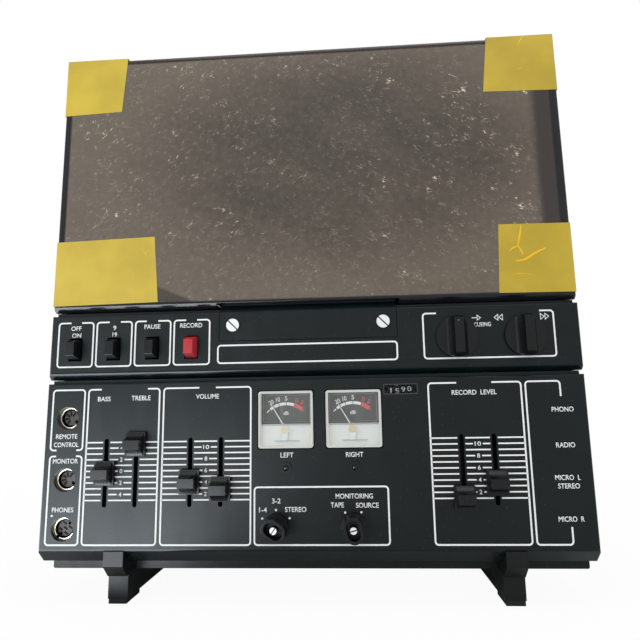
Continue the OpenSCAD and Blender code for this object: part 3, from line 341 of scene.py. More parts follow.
def laminate():
    """Paper laminate board with a woven tint and lacquer."""
    f = Finish("laminate", Specular_IOR_Level=0.5)
    weave = f.noise(700, 2, (1, 1, 0.15)) * 0.5 + f.noise(700, 2, (0.15, 1, 1)) * 0.5
    cloud = f.noise(40, 3)
    f.feed("Base Color", f.mix(weave.soft(0.35, 0.65), (0.24, 0.17, 0.05), (0.36, 0.27, 0.10)))
    f.feed("Roughness", 0.35 + 0.25 * cloud)
    f.bump(weave, 0.2, 0.03)
    return f.material


FINISHES = {
    "panel_plastic": moulded("panel_black", (0.0014, 0.0050, 0.0056), (0.0026, 0.0068, 0.0075), 0.36, 2300, 0.04, 0.22,
                             lips=((-9.6, 1.2), (126.8, 132.8)), sides=204.6),
    "case_plastic": moulded("case_black", (0.0050, 0.0056, 0.0058), (0.0075, 0.0082, 0.0085), 0.38, 1100, 0.10, 0.2,
                            sides=205.9),
    "black_plastic": moulded("knob_black", (0.0020, 0.0034, 0.0038), (0.0036, 0.0052, 0.0056), 0.28, 3000, 0.03, 0.25,
                             0.3),
    "red_plastic": moulded("key_red", (0.46, 0.024, 0.034), (0.55, 0.036, 0.048), 0.30, 3000, 0.03, 0.3, 0.1),
    "white_plastic": meter_white(),
    "scale_print": moulded("scale_grey", (0.044, 0.051, 0.052), (0.056, 0.064, 0.065), 0.55, 1800, 0.02, 0.3, 0.2),
    "smoked_lid": smoked_acrylic(),
    "clear_window": clear_sheet("clear_sheet", (0.88, 0.88, 0.84), 0.045, 0.62, METER_XS),
    "lens": moulded("lamp_red", (0.006, 0.0022, 0.0025), (0.010, 0.003, 0.0035), 0.10, 800, 0.01, 0.5, 0.0),
    "deck_paint": moulded("deck_black", (0.020, 0.020, 0.021), (0.030, 0.030, 0.031), 0.38, 900, 0.06, 0.5),
    "bare_aluminium": metal("turned_aluminium", (0.84, 0.84, 0.84), 0.24, (1, 6, 1), 700, (0.6, 0.6, 0.58)),
    "steel": metal("drawn_steel", (0.56, 0.56, 0.57), 0.34, (0.15, 1, 1), 1300),
    "ground_steel": metal("ground_steel", (0.68, 0.68, 0.70), 0.16, (1, 0.2, 1), 1600),
    "brass": metal("turned_brass", (0.72, 0.53, 0.22), 0.28, (1, 6, 1), 800, (0.4, 0.27, 0.1)),
    "rubber": moulded("rubber", (0.010, 0.010, 0.010), (0.018, 0.018, 0.017), 0.72, 1500, 0.08, 0.2),
    # Socket inserts are painted black past 5.75 mm deep: painted shade in their contact holes.
    "insulator": moulded("socket_brown", (0.046, 0.038, 0.038), (0.066, 0.055, 0.054), 0.5, 1600, 0.05, 0.25, 0.3,
                         (5.75, 199.2)),
    "switch_plastic": moulded("switch_tan", (0.26, 0.22, 0.15), (0.34, 0.30, 0.22), 0.45, 1500, 0.05, 0.4, 0.2),
    "board": laminate(),
    "core_iron": metal("core_iron", (0.20, 0.19, 0.18), 0.5, (1, 12, 1), 500, (0.16, 0.10, 0.06)),
    "needle_paint": print_ink("needle_white", (0.80, 0.81, 0.78), (0.6, 0.6, 0.57)),
}
# Looks of single nodes, where the slot's own finish isn't enough.
OWN = {
    # Socket shells, screw slots and shaft slots are painted black past a given depth: painted shade in their hollows.
    "din_shells": metal("socket_plating", (0.74, 0.67, 0.55), 0.36, (1, 4, 1), 900, (0.5, 0.42, 0.3), (4.05, 200.95)),
    "head_cover_screws": metal("screw_face", (0.80, 0.80, 0.80), 0.3, (1, 6, 1), 700, (0.6, 0.6, 0.58), (-1.4,)),
    "track_shaft": metal("shaft_face", (0.80, 0.80, 0.80), 0.3, (1, 6, 1), 700, (0.6, 0.6, 0.58), (-14.75,)),
}
OWN["monitor_shaft"] = OWN["track_shaft"]
INK = print_ink("ink_white", (0.88, 0.90, 0.89), (0.70, 0.72, 0.72))
INK_RED = print_ink("ink_red", (0.66, 0.10, 0.10), (0.5, 0.07, 0.07))
# Grey for a line painted round the counter window as the highlight on its edges.
HIGHLIGHT_GREY = print_ink("ink_grey", (0.075, 0.080, 0.084), (0.05, 0.054, 0.056))
INK_PALE = print_ink("ink_pale", (0.22, 0.24, 0.24), (0.16, 0.17, 0.17))
IVORY = moulded("hub_ivory", (0.66, 0.58, 0.36), (0.82, 0.79, 0.62), 0.35, 1500, 0.02, 0.4, 0.0)
# Grey for the shadows painted in the meters.
METER_SHADOW = moulded("meter_grey", (0.34, 0.36, 0.36), (0.42, 0.44, 0.44), 0.45, 1500, 0.02, 0.3, 0.0)
DIGITS = print_ink("digit_white", (0.92, 0.94, 0.94), (0.74, 0.76, 0.76))
# Dark shapes painted on the socket inserts as the shade in their contact holes.
SLOT_SHADE = moulded("slot_black", (0.0015, 0.0015, 0.0015), (0.003, 0.003, 0.003), 0.7, 1500, 0.02, 0.1, 0.0)
PANE = clear_sheet("counter_pane", (0.030, 0.036, 0.037), 0.10)
TAPE = packing_tape("packing_tape", (0.53, 0.385, 0.034), (0.64, 0.475, 0.046))
# A darker copy of the tape for the right-hand patches: painted shade.
TAPE_SHADED = packing_tape("packing_tape_dark", (0.46, 0.33, 0.026), (0.56, 0.40, 0.036))
TAPE_FOLD = packing_tape("packing_tape_fold", (0.80, 0.47, 0.008), (0.92, 0.58, 0.012))

for part in frame["record"]["subparts"]:
    held = nodes[part["node"]].data.materials
    held.clear()
    held.append(OWN.get(part["node"], FINISHES[part["material_slot"]]))


# ---------------------------------------------------------------- modelling helps

def only(*pieces):
    """Select these pieces and nothing else, the first one active."""
    if bpy.context.object and bpy.context.object.mode != "OBJECT":
        bpy.ops.object.mode_set(mode="OBJECT")
    bpy.ops.object.select_all(action="DESELECT")
    for piece in pieces:
        piece.select_set(True)
    if pieces:
        bpy.context.view_layer.objects.active = pieces[0]


def edit_all(piece):
    only(piece)
    bpy.ops.object.mode_set(mode="EDIT")
    bpy.ops.mesh.select_all(action="SELECT")


def pick(piece, kind, test):
    """Go into edit mode with the faces, edges or points selected whose middle passes the test."""
    only(piece)
    mesh = piece.data
    for items in (mesh.vertices, mesh.edges, mesh.polygons):
        items.foreach_set("select", [False] * len(items))
    if kind == "FACE":
        for face in mesh.polygons:
            face.select = test(face.center, face.normal)
    elif kind == "EDGE":
        for edge in mesh.edges:
            a, b = (mesh.vertices[i].co for i in edge.vertices)
            edge.select = test((a + b) / 2, (a - b).normalized())
    else:
        for point in mesh.vertices:
            point.select = test(point.co, point.normal)
    bpy.context.tool_settings.mesh_select_mode = (kind == "VERT", kind == "EDGE", kind == "FACE")
    bpy.ops.object.mode_set(mode="EDIT")


def object_mode():
    bpy.ops.object.mode_set(mode="OBJECT")


def apply_place(piece, location=(0, 0, 0), turn=(0, 0, 0), scale=(1, 1, 1)):
    only(piece)
    piece.location = location
    piece.rotation_euler = turn
    piece.scale = scale
    bpy.ops.object.transform_apply(location=True, rotation=True, scale=True)


def use(piece, name, kind, **settings):
    """Add a modifier and apply it."""
    only(piece)
    made = piece.modifiers.new(name, kind)
    for key, value in settings.items():
        setattr(made, key, value)
    bpy.ops.object.modifier_apply(modifier=name)


def joined(name, pieces):
    only(*pieces)
    bpy.ops.object.join()
    whole = bpy.context.object
    whole.name = whole.data.name = name
    return whole


def dress(piece, finish, body):
    piece.data.materials.clear()
    piece.data.materials.append(finish)
    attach(piece, body)
    return piece


def soften(node, width):
    """A node's copy, merged and with its sharp edges rounded, stands in the node's place."""
    source = nodes[node]
    piece = bpy.data.objects.new(node + "_soft", source.data.copy())
    bpy.context.collection.objects.link(piece)
    edit_all(piece)
    bpy.ops.mesh.remove_doubles(threshold=2e-6)
    bpy.ops.mesh.dissolve_limited(angle_limit=math.radians(0.6))
    object_mode()
    bpy.ops.object.shade_smooth()
    use(piece, "round", "BEVEL", width=width * MM, segments=2, limit_method="ANGLE",
        angle_limit=math.radians(38), harden_normals=True, use_clamp_overlap=True)
    use(piece, "normals", "WEIGHTED_NORMAL", keep_sharp=False, weight=60)
    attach(piece, body_of_node[node])
    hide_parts(node)


# How far each node's edges are rounded.
SOFT = {
    "front_panel": 0.35, "transport_strip": 0.35, "head_cover": 0.4, "rear_case": 0.8, "runner_feet": 0.5,
    "lid": 0.5, "meter_windows": 0.35, "power_key": 0.25, "speed_key": 0.25, "pause_key": 0.25,
    "record_key": 0.25, "start_knob": 0.4, "wind_knob": 0.4, "track_knob": 0.25, "monitor_knob": 0.25,
    "bass_slider": 0.22, "treble_slider": 0.22, "volume_left_slider": 0.22, "volume_right_slider": 0.22,
    "level_left_slider": 0.22, "level_right_slider": 0.22,
}
for node, width in SOFT.items():
    soften(node, width)


# ---------------------------------------------------------------- printing

# Printing is drawn flat, X across and Y up, then given its thickness and stood on its face.
LINE = 1.22
SCALE_LINE = 1.05
CORNER = 3.0
LETTER = 3.6
DOT = 0.8


def box_line(x0, x1, z0, z1, gaps=(), line=LINE, corner=CORNER):
    """A printed box with round corners. Each gap is a rectangle taken out of its line."""
    only()
    bpy.ops.mesh.primitive_plane_add(size=1)
    piece = bpy.context.object
    apply_place(piece, ((x0 + x1) / 2 * MM, (z0 + z1) / 2 * MM, 0), (0, 0, 0),
                ((x1 - x0 + line) * MM, (z1 - z0 + line) * MM, 1))
    edit_all(piece)
    bpy.ops.mesh.bevel(offset=corner * MM, segments=6, affect="VERTICES")
    bpy.ops.mesh.select_all(action="SELECT")
    bpy.ops.mesh.inset(thickness=line * MM)
    bpy.ops.mesh.delete(type="FACE")
    for gx0, gx1, gz0, gz1 in gaps:
        for point, way in (((gx0, 0), (1, 0)), ((gx1, 0), (1, 0)), ((0, gz0), (0, 1)), ((0, gz1), (0, 1))):
            bpy.ops.mesh.select_all(action="SELECT")
            bpy.ops.mesh.bisect(plane_co=(point[0] * MM, point[1] * MM, 0), plane_no=(*way, 0))
        pick(piece, "FACE", lambda c, n: gx0 < c.x / MM < gx1 and gz0 < c.y / MM < gz1)
        bpy.ops.mesh.delete(type="FACE")
    object_mode()
    return piece


def ticks(x0, x1, first, count, step, line=SCALE_LINE):
    """A column of printed lines."""
    only()
    bpy.ops.mesh.primitive_plane_add(size=1)
    piece = bpy.context.object
    apply_place(piece, ((x0 + x1) / 2 * MM, first * MM, 0), (0, 0, 0), ((x1 - x0) * MM, line * MM, 1))
    use(piece, "column", "ARRAY", count=count, use_relative_offset=False, use_constant_offset=True,
        constant_offset_displace=(0, step * MM, 0))
    return piece


def fit(piece, x, z, width, height):
    """Scale a flat piece to its printed width and height, about its printed middle."""
    xs = [v.co.x for v in piece.data.vertices]
    ys = [v.co.y for v in piece.data.vertices]
    sx = width * MM / (max(xs) - min(xs))
    sy = height * MM / (max(ys) - min(ys))
    apply_place(piece, (x * MM - sx * (max(xs) + min(xs)) / 2, z * MM - sy * (max(ys) + min(ys)) / 2, 0),
                (0, 0, 0), (sx, sy, 1))
    return piece


def word(text, x, z, width, height=LETTER, weight=0.013, tilt=0.0):
    """A printed word or number of this width and height, tilted clockwise about its middle."""
    only()
    bpy.ops.object.text_add()
    piece = bpy.context.object
    piece.data.body = text
    piece.data.offset = weight
    piece.data.resolution_u = 4
    only(piece)
    bpy.ops.object.convert(target="MESH")
    piece = fit(bpy.context.object, 0, 0, width, height)
    apply_place(piece, (x * MM, z * MM, 0), (0, 0, -math.radians(tilt)))
    return piece


def dot(x, z, radius, points=20):
    only()
    bpy.ops.mesh.primitive_circle_add(vertices=points, radius=radius * MM, fill_type="NGON",
                                      location=(x * MM, z * MM, 0))
    piece = bpy.context.object
    apply_place(piece, piece.location)
    return piece


def arrow(x, z, width, height, way):
    """An open triangle that points to the left or the right."""
    only()
    bpy.ops.mesh.primitive_circle_add(vertices=3, radius=1, fill_type="NGON")
    piece = bpy.context.object
    apply_place(piece, (0, 0, 0), (0, 0, -way * math.pi / 2))
    fit(piece, x, z, width, height)
    edit_all(piece)
    bpy.ops.mesh.inset(thickness=0.5 * MM)
    bpy.ops.mesh.delete(type="FACE")
    object_mode()
    return piece


def arc(x, z, inner, outer, start, end):
    """A printed band, its angles in degrees from upright to the right."""
    only()
    bpy.ops.mesh.primitive_circle_add(vertices=480, radius=outer * MM, fill_type="NGON", location=(x * MM, z * MM, 0))
    piece = bpy.context.object
    apply_place(piece, piece.location)
    edit_all(piece)
    bpy.ops.mesh.inset(thickness=(outer - inner) * MM)
    bpy.ops.mesh.delete(type="FACE")
    pick(piece, "FACE", lambda c, n: not start < math.degrees(math.atan2(c.x - x * MM, c.y - z * MM)) < end)
    bpy.ops.mesh.delete(type="FACE")
    object_mode()
    return piece


def printed(name, pieces, y, finish, body="chassis", proud=0.07, sunk=0.02):
    """Join flat print, give it its thickness and stand it on the face at depth y."""
    piece = joined(name, pieces)
    use(piece, "ink", "SOLIDIFY", thickness=(proud + sunk) * MM, offset=-1)
    apply_place(piece, (0, (FACE_Y + y - proud) * MM, FOOT_Z * MM), (math.pi / 2, 0, 0))
    dress(piece, finish, body)


# Boxes of the panel: left, right, foot and top of each, and the gaps in its line.
TOP = (117.0, 121.0)
PANEL_BOXES = (
    (-199.8, -174.5, 73.3, 119.1, ((-194.9, -179.2, 71.0, 75.5),)),
    (-199.8, -174.5, 4.1, 68.8, ((-194.9, -179.2, 66.5, 71.0),)),
    (-171.4, -115.1, 4.1, 119.1, ((-161.3, -124.5, *TOP),)),
    (-111.7, -44.0, 4.1, 119.1, ((-84.1, -71.1, *TOP),)),
    (-41.0, 57.7, 4.1, 44.8, ()),
    (90.1, 158.1, 4.1, 119.1, ((111.0, 136.8, *TOP),)),
    (161.3, 186.3, 4.1, 119.1, ((184.0, 188.5, 16.1, 107.9),)),
)
# Words of the panel: each with its middle and its width.
PANEL_WORDS = (
    ("REMOTE", -187.4, 83.7, 17.1), ("CONTROL", -187.4, 77.5, 19.6), ("MONITOR", -187.3, 65.2, 19.8),
    ("PHONES", -187.3, 29.4, 16.7), ("BASS", -158.9, 111.8, 10.2), ("TREBLE", -129.7, 112.1, 15.1),
    ("VOLUME", -77.6, 112.4, 17.9), ("RECORD  LEVEL", 123.8, 111.9, 32.9), ("PHONO", 186.8, 98.4, 15.7),
    ("RADIO", 186.7, 72.8, 13.5), ("MICRO  L", 186.3, 50.0, 17.8), ("STEREO", 186.6, 44.1, 15.3),
    ("MICRO  R", 186.4, 21.4, 18.0), ("LEFT", -16.5, 67.9, 9.8), ("RIGHT", 33.9, 67.8, 12.9),
    ("MONITORING", 32.8, 38.1, 27.3), ("TAPE", 20.3, 31.9, 9.7), ("SOURCE", 42.2, 31.6, 16.6),
    ("1-4", -34.6, 28.7, 5.8), ("3-2", -24.7, 35.0, 6.4), ("STEREO", -10.4, 28.9, 15.8),
)
PANEL_DOTS = ((-195.6, 25.1), (-35.2, 22.6), (-25.0, 28.6), (-14.9, 22.8), (25.9, 26.6), (37.7, 26.7))
# Each scale: box edges, its two slots, the middle of its numbers, the numbers from the foot up.
SCALES = (
    (-171.4, -115.1, -155.4, -132.0, -143.4, ("4", "2", "0", "2", "4")),
    (-111.7, -44.0, -90.1, -66.7, -78.0, ("2", "4", "6", "8", "10")),
    (90.1, 158.1, 112.4, 136.0, 124.2, ("2", "4", "6", "8", "10")),
)
SCALE_FOOT = 36.1
SCALE_STEP = 4.27
SCALE_LINES = 11
SLOT_CLEAR = 2.85
# Width of a number, and half the gap in its line, by its count of figures.
NUMBER_WIDTH = {1: 2.1, 2: 4.6}
NUMBER_GAP = {1: 2.5, 2: 3.6}
NUMBER_HEIGHT = 3.1


def panel_printing():
    flat = [box_line(*b) for b in PANEL_BOXES]
    flat += [word(*w) for w in PANEL_WORDS]
    flat += [dot(x, z, DOT) for x, z in PANEL_DOTS]
    for left, right, slot_a, slot_b, mid, numbers in SCALES:
        flat.append(ticks(left, slot_a - SLOT_CLEAR, SCALE_FOOT, SCALE_LINES, SCALE_STEP))
        flat.append(ticks(slot_b + SLOT_CLEAR, right, SCALE_FOOT, SCALE_LINES, SCALE_STEP))
        a, b = slot_a + SLOT_CLEAR, slot_b - SLOT_CLEAR
        flat.append(ticks(a, b, SCALE_FOOT, len(numbers) + 1, 2 * SCALE_STEP))
        for i, number in enumerate(numbers):
            z = SCALE_FOOT + (2 * i + 1) * SCALE_STEP
            half = NUMBER_GAP[len(number)]
            flat.append(ticks(a, mid - half, z, 1, 0))
            flat.append(ticks(mid + half, b, z, 1, 0))
            flat.append(word(number, mid, z, NUMBER_WIDTH[len(number)], NUMBER_HEIGHT))
    printed("panel_print", flat, 0, INK)


STRIP_TOP = (170.0, 174.0)
KEY_BOX = {"left": -198.5, "step": 31.17, "wide": 28.2, "foot": 137.1, "top": 172.1}
KEY_GAPS = ((-188.7, -180.0), (-157.5, -148.3), (-127.4, -118.0), (-95.7, -86.8))
STRIP_WORDS = (
    ("OFF", -184.4, 167.7, 8.4), ("ON", -183.9, 162.0, 7.4), ("9", -153.1, 167.4, 2.4), ("19", -152.9, 162.1, 3.6),
    ("PAUSE", -122.6, 167.7, 12.9), ("RECORD", -91.5, 167.9, 17.6), ("CUEING", 133.1, 162.7, 12.6, 3.2),
)


def strip_printing():
    flat = []
    for i, gap in enumerate(KEY_GAPS):
        x = KEY_BOX["left"] + KEY_BOX["step"] * i
        flat.append(box_line(x, x + KEY_BOX["wide"], KEY_BOX["foot"], KEY_BOX["top"], ((*gap, *STRIP_TOP),)))
    flat.append(box_line(-70.0, 68.3, 137.6, 151.3))
    flat.append(box_line(88.6, 185.9, 137.6, 172.1, ((98.7, 175.8, *STRIP_TOP),)))
    flat += [word(*w) for w in STRIP_WORDS]
    flat.append(ticks(125.4, 129.3, 167.9, 1, 0, 0.6))
    flat.append(arrow(130.8, 167.9, 3.2, 4.8, 1))
    for x in (143.5, 146.9):
        flat.append(arrow(x, 167.8, 3.4, 5.5, -1))
    for x in (177.9, 181.3):
        flat.append(arrow(x, 167.6, 3.4, 5.5, 1))
    printed("strip_print", flat, 0, INK)


# Scale of a meter: its middle, radius and depth, the angles of its white bands, and its numbers.
PIVOT_Z = 85.9
SCALE_R = 19.9
SCALE_Y = 6.0
BANDS = ((-37.4, -28.9), (-27.6, -16.4), (-15.2, 0.0), (1.2, 18.2))
NUMBER_R = 24
WHITE_NUMBERS = (("20", -28.4, 3.9), ("10", -15.0, 3.1), ("5", 0.3, 2.1))
RED_NUMBERS = (("0", 20.2, 2.3), ("3", 30.5, 2.1))
RED_DOT = 42.4


def round_scale(x, radius, angle):
    """A place on a meter's scale, its angle in degrees from upright to the right."""
    a = math.radians(angle)
    return x + radius * math.sin(a), PIVOT_Z + radius * math.cos(a)


def meter_printing():
    white, red, grey = [], [], []
    for meter_x in METER_XS:
        x = meter_x - 0.4
        for start, end in BANDS:
            white.append(arc(x, PIVOT_Z, SCALE_R - 1.1, SCALE_R + 1.1, start, end))
        white.append(arc(x, PIVOT_Z, SCALE_R - 0.4, SCALE_R + 0.4, -47.0, -39.6))
        red.append(arc(x, PIVOT_Z, SCALE_R - 1.6, SCALE_R + 1.5, 18.9, 38.8))
        red.append(dot(*round_scale(x, SCALE_R, RED_DOT), 0.85, 3))
        for kind, numbers in ((white, WHITE_NUMBERS), (red, RED_NUMBERS)):
            for text, angle, width in numbers:
                kind.append(word(text, *round_scale(x, NUMBER_R, angle), width, 3.5, 0.02, angle * 0.8))
        white.append(word("dB", x, PIVOT_Z + 12.7, 4.2, 2.8, 0.02))
        grey.append(box_line(meter_x - 18.0, meter_x + 17.6, 92.0, 112.4, (), 0.35, 0.6))
    printed("meter_print", white, SCALE_Y, INK)
    printed("meter_print_red", red, SCALE_Y, INK_RED)
    printed("meter_print_grey", grey, SCALE_Y, INK_PALE)


panel_printing()
strip_printing()
meter_printing()
# Painted highlight: a grey line round the counter window's edges.
printed("counter_line", [box_line(57.2, 82.0, 111.7, 118.9, (), 0.45, 0.5)], 0, HIGHLIGHT_GREY)
printed("start_dot", [dot(113.1, 164.5, 0.45)], -12.6, INK_PALE, "start_knob")


# ---------------------------------------------------------------- meter movements and counter

def block(x, y, z, bevel=0.2):
    """A block between two values along each axis, with its edges rounded."""
    only()
    bpy.ops.mesh.primitive_cube_add(size=1)
    piece = bpy.context.object
    apply_place(piece, (sum(x) / 2 * MM, (FACE_Y + sum(y) / 2) * MM, (FOOT_Z + sum(z) / 2) * MM), (0, 0, 0),
                ((x[1] - x[0]) * MM, (y[1] - y[0]) * MM, (z[1] - z[0]) * MM))
    edit_all(piece)
    bpy.ops.mesh.bevel(offset=bevel * MM, segments=2, affect="EDGES")
    object_mode()
    return piece


def hub(x, z):
    """A meter's pivot cap: a disc with a raised ring and a sunk middle."""
    only()
    bpy.ops.mesh.primitive_cylinder_add(vertices=32, radius=3.1 * MM, depth=0.9 * MM)
    piece = bpy.context.object
    for thickness, lift in ((0.5, 0.25), (0.7, -0.35), (0.6, 0.3)):
        top = max(v.co.z for v in piece.data.vertices) - 0.36 * MM
        pick(piece, "FACE", lambda c, n: n.z > 0.9 and c.z > top and c.xy.length < 1e-5)
        bpy.ops.mesh.inset(thickness=thickness * MM)
        bpy.ops.mesh.extrude_region_move(TRANSFORM_OT_translate={"value": (0, 0, lift * MM)})
        object_mode()
    apply_place(piece, (x * MM, (FACE_Y + 1.85) * MM, (FOOT_Z + z) * MM), (math.pi / 2, 0, 0))
    return piece


MASK_Y = 2.38


def meter_movements():
    """What shows of each movement in front of the white mask: pivot cap, post and lever, and two grey strips painted
    as shadows, under the post and along the mask's top edge.
    """
    white, ivory, grey = [], [], []
    for x in METER_XS:
        ivory.append(hub(x - 0.7, 86.0))
        white.append(block((x - 2.9, x + 1.5), (1.2, MASK_Y), (78.4, 84.2)))
        white.append(block((x + 1.6, x + 5.5), (1.3, 1.9), (84.6, 85.5)))
        # Painted shadows: a grey strip under the post and one along the top edge of the mask.
        grey.append(block((x - 8.5, x + 10.2), (1.7, MASK_Y), (77.9, 78.4), 0.1))
        grey.append(block((x - 18.6, x + 18.6), (1.9, MASK_Y), (89.6, 90.6), 0.1))
    for name, pieces, finish, slot in (("meter_posts", white, FINISHES["white_plastic"], "white_plastic"),
                                       ("meter_hubs", ivory, IVORY, "brass"),
                                       ("meter_feet", grey, METER_SHADOW, "white_plastic")):
        whole = joined(name, pieces)
        only(whole)
        bpy.ops.object.shade_smooth_by_angle(angle=math.radians(35))
        dress(whole, finish, "chassis")


# Number wheels of the counter: their radius, how many numbers go round them, and the middle of their axle.
WHEEL_R = 5.0
ROUND = 5
COUNTER = (69.6, 8.6, 115.3)
# Each number wheel from the left: its pitch from the middle, its number, how far it has rolled on, its body.
WHEELS = ((-6.9, 1, 11, "chassis"), (-2.3, 5, 16, "chassis"), (2.3, 9, 2, "chassis"),
          (6.9, 0, -2, "counter_unit_wheel"))


def digit_ring(name, first):
    """Every other number round a small wheel whose axle lies along Z, from the first one on."""
    around = []
    for step in range(ROUND):
        number = (first + 2 * step) % 10
        piece = word(str(number), 0, 0, 1.1 if number == 1 else 2.9, 4.2, 0.0)
        edit_all(piece)
        for cut in (-1.4, -0.7, 0, 0.7, 1.4):
            bpy.ops.mesh.select_all(action="SELECT")
            bpy.ops.mesh.bisect(plane_co=(0, cut * MM, 0), plane_no=(0, 1, 0))
        object_mode()
        apply_place(piece, (WHEEL_R * MM, 0, 0), Matrix(((0, 0, 1), (0, -1, 0), (1, 0, 0))).to_euler())
        apply_place(piece, (0, 0, 0), (0, 0, math.radians(360 / ROUND * step)))
        around.append(piece)
    ring = joined(name, around)
    use(ring, "wrap", "CAST", cast_type="CYLINDER", factor=1.0, use_z=False, use_radius_as_size=False,
        size=(WHEEL_R + 0.01) * MM)
    use(ring, "ink", "SOLIDIFY", thickness=0.05 * MM, offset=1)
    return ring


def counter_digits():
    stand = Matrix(((0, 0, 1), (-1, 0, 0), (0, -1, 0))).to_euler()
    x, y, z = COUNTER
    for i, (along, number, rolled, body) in enumerate(WHEELS):
        ring = digit_ring("counter_digits_%d" % (i + 1), number)
        apply_place(ring, (0, 0, 0), (0, 0, math.radians(rolled)))
        apply_place(ring, ((x + along) * MM, (FACE_Y + y) * MM, (FOOT_Z + z) * MM), stand)
        dress(ring, DIGITS, body)


def slit(x, z, turn, length=3.9, width=1.4):
    """A contact slot's hole painted as a dark shape with round ends, its turn in degrees from level."""
    only()
    bpy.ops.mesh.primitive_plane_add(size=1)
    piece = bpy.context.object
    apply_place(piece, (0, 0, 0), (0, 0, 0), (length * MM, width * MM, 1))
    edit_all(piece)
    bpy.ops.mesh.bevel(offset=width * 0.48 * MM, segments=4, affect="VERTICES")
    object_mode()
    apply_place(piece, (x * MM, z * MM, 0), (0, 0, math.radians(turn)))
    return piece


# Sockets on the left: their middles, the rings their contacts lie on, the lie of slanted ones, the inserts' depth.
SOCKET_X = -187.1
FAN_ZS = (97.5, 51.2)
FAN_R = 3.5
CROSS_Z = 15.3
CROSS_R = 3.8
SLANT = 145
INSERT_Y = 5.5


def socket_slits():
    """Painted shade of the contact slots of the three sockets on the left: two fans of five, and five slanted ones."""
    flat = [slit(SOCKET_X, CROSS_Z, SLANT)]
    places = [(z, FAN_R, turn, turn) for z in FAN_ZS for turn in range(55, 236, 45)]
    places += [(CROSS_Z, CROSS_R, turn, SLANT) for turn in range(10, 281, 90)]
    for z, ring, turn, lie in places:
        a = math.radians(turn)
        flat.append(slit(SOCKET_X + ring * math.cos(a), z + ring * math.sin(a), lie))
    printed("socket_slits", flat, INSERT_Y, SLOT_SHADE, proud=0.03)


meter_movements()
counter_digits()
socket_slits()
dress(block((57.6, 81.6), (0.5, 1.3), (112.1, 118.5), 0.15), PANE, "chassis").name = "counter_pane"


# ---------------------------------------------------------------- tape on the lid

LID_HALF = 204.5
LID_TOP = 401.8
LID_FOOT = 186.0
TAPE_T = 0.16
FOLD = 9
# Corners of each patch on the lid's face, from its top left round to its lower left, and where it folds over.
PATCHES = {
    "tape_top_left": (((-LID_HALF, LID_TOP), (-151.7, LID_TOP), (-155.3, 352.6), (-LID_HALF, 350.9)), "left top"),
    "tape_low_left": (((-LID_HALF, 239.3), (-123.3, 241.4), (-119.0, 187.4), (-LID_HALF, LID_FOOT)), "left"),
    "tape_top_right": (((151.0, LID_TOP), (LID_HALF, LID_TOP), (LID_HALF, 352.3), (145.9, 353.6)), "right top"),
    "tape_low_right": (((150.2, 241.0), (LID_HALF, 240.4), (LID_HALF, LID_FOOT), (147.4, 186.6)), "right"),
}


def tape_patch(name, corners, folds):
    """A strip of tape, laid on the face and folded round the lid's edge."""
    only()
    bpy.ops.mesh.primitive_plane_add(size=2)
    piece = bpy.context.object
    piece.name = piece.data.name = name
    signs = ((-1, 1), (1, 1), (1, -1), (-1, -1))
    for (sx, sz), (x, z) in zip(signs, corners):
        pick(piece, "VERT", lambda c, n: abs(c.x - sx) < 1e-4 and abs(c.y - sz) < 1e-4)
        bpy.ops.transform.translate(value=(x * MM - sx, z * MM - sz, 0))
    edit_all(piece)
    bpy.ops.mesh.subdivide(number_cuts=14)
    for side, way in (("left", (-1, 0)), ("right", (1, 0)), ("top", (0, 1))):
        if side in folds:
            edge = LID_TOP if side == "top" else LID_HALF
            pick(piece, "EDGE", lambda c, n: abs(c.x * way[0] + c.y * way[1] - edge * MM) < 2e-5
                 and abs(n.x * way[0] + n.y * way[1]) < 0.3 and c.z > -1e-5)
            bpy.ops.mesh.extrude_edges_move(TRANSFORM_OT_translate={"value": (0, 0, -FOLD * MM)})
    object_mode()
    use(piece, "sheet", "SOLIDIFY", thickness=TAPE_T * MM, offset=1)
    apply_place(piece, (0, (FACE_Y - 0.02) * MM, FOOT_Z * MM), (math.pi / 2, 0, 0))
    bpy.ops.object.shade_smooth_by_angle(angle=math.radians(40))
    # The right-hand patches take the darker copy of the tape: painted shade.
    dress(piece, TAPE_SHADED if "right" in name else TAPE, "lid")


# Creases pressed into the patches: the points of each, and its width.
CREASES = (
    (((167.4, 240.1), (166.3, 233.1), (163.8, 223.0)), 2.0), (((163.8, 223.0), (160.1, 221.5), (157.3, 219.1)), 1.5),
    (((163.8, 223.0), (165.9, 220.0), (167.2, 215.8)), 1.6),
    (((161.3, 211.2), (168.3, 212.0), (175.6, 216.3), (184.8, 220.8)), 2.3),
    (((157.6, 200.9), (164.5, 201.1), (174.3, 199.9)), 0.5), (((180.4, 400.6), (178.9, 398.3), (176.4, 393.9)), 1.0),
    (((173.5, 371.8), (178.0, 373.2)), 0.9), (((-134.7, 232.5), (-131.0, 227.3)), 0.6),
    (((-132.5, 233.1), (-129.4, 225.7)), 0.6), (((-130.8, 222.9), (-129.9, 227.9), (-127.2, 230.7)), 0.6),
    (((-129.1, 222.4), (-126.6, 226.3)), 0.6),
)


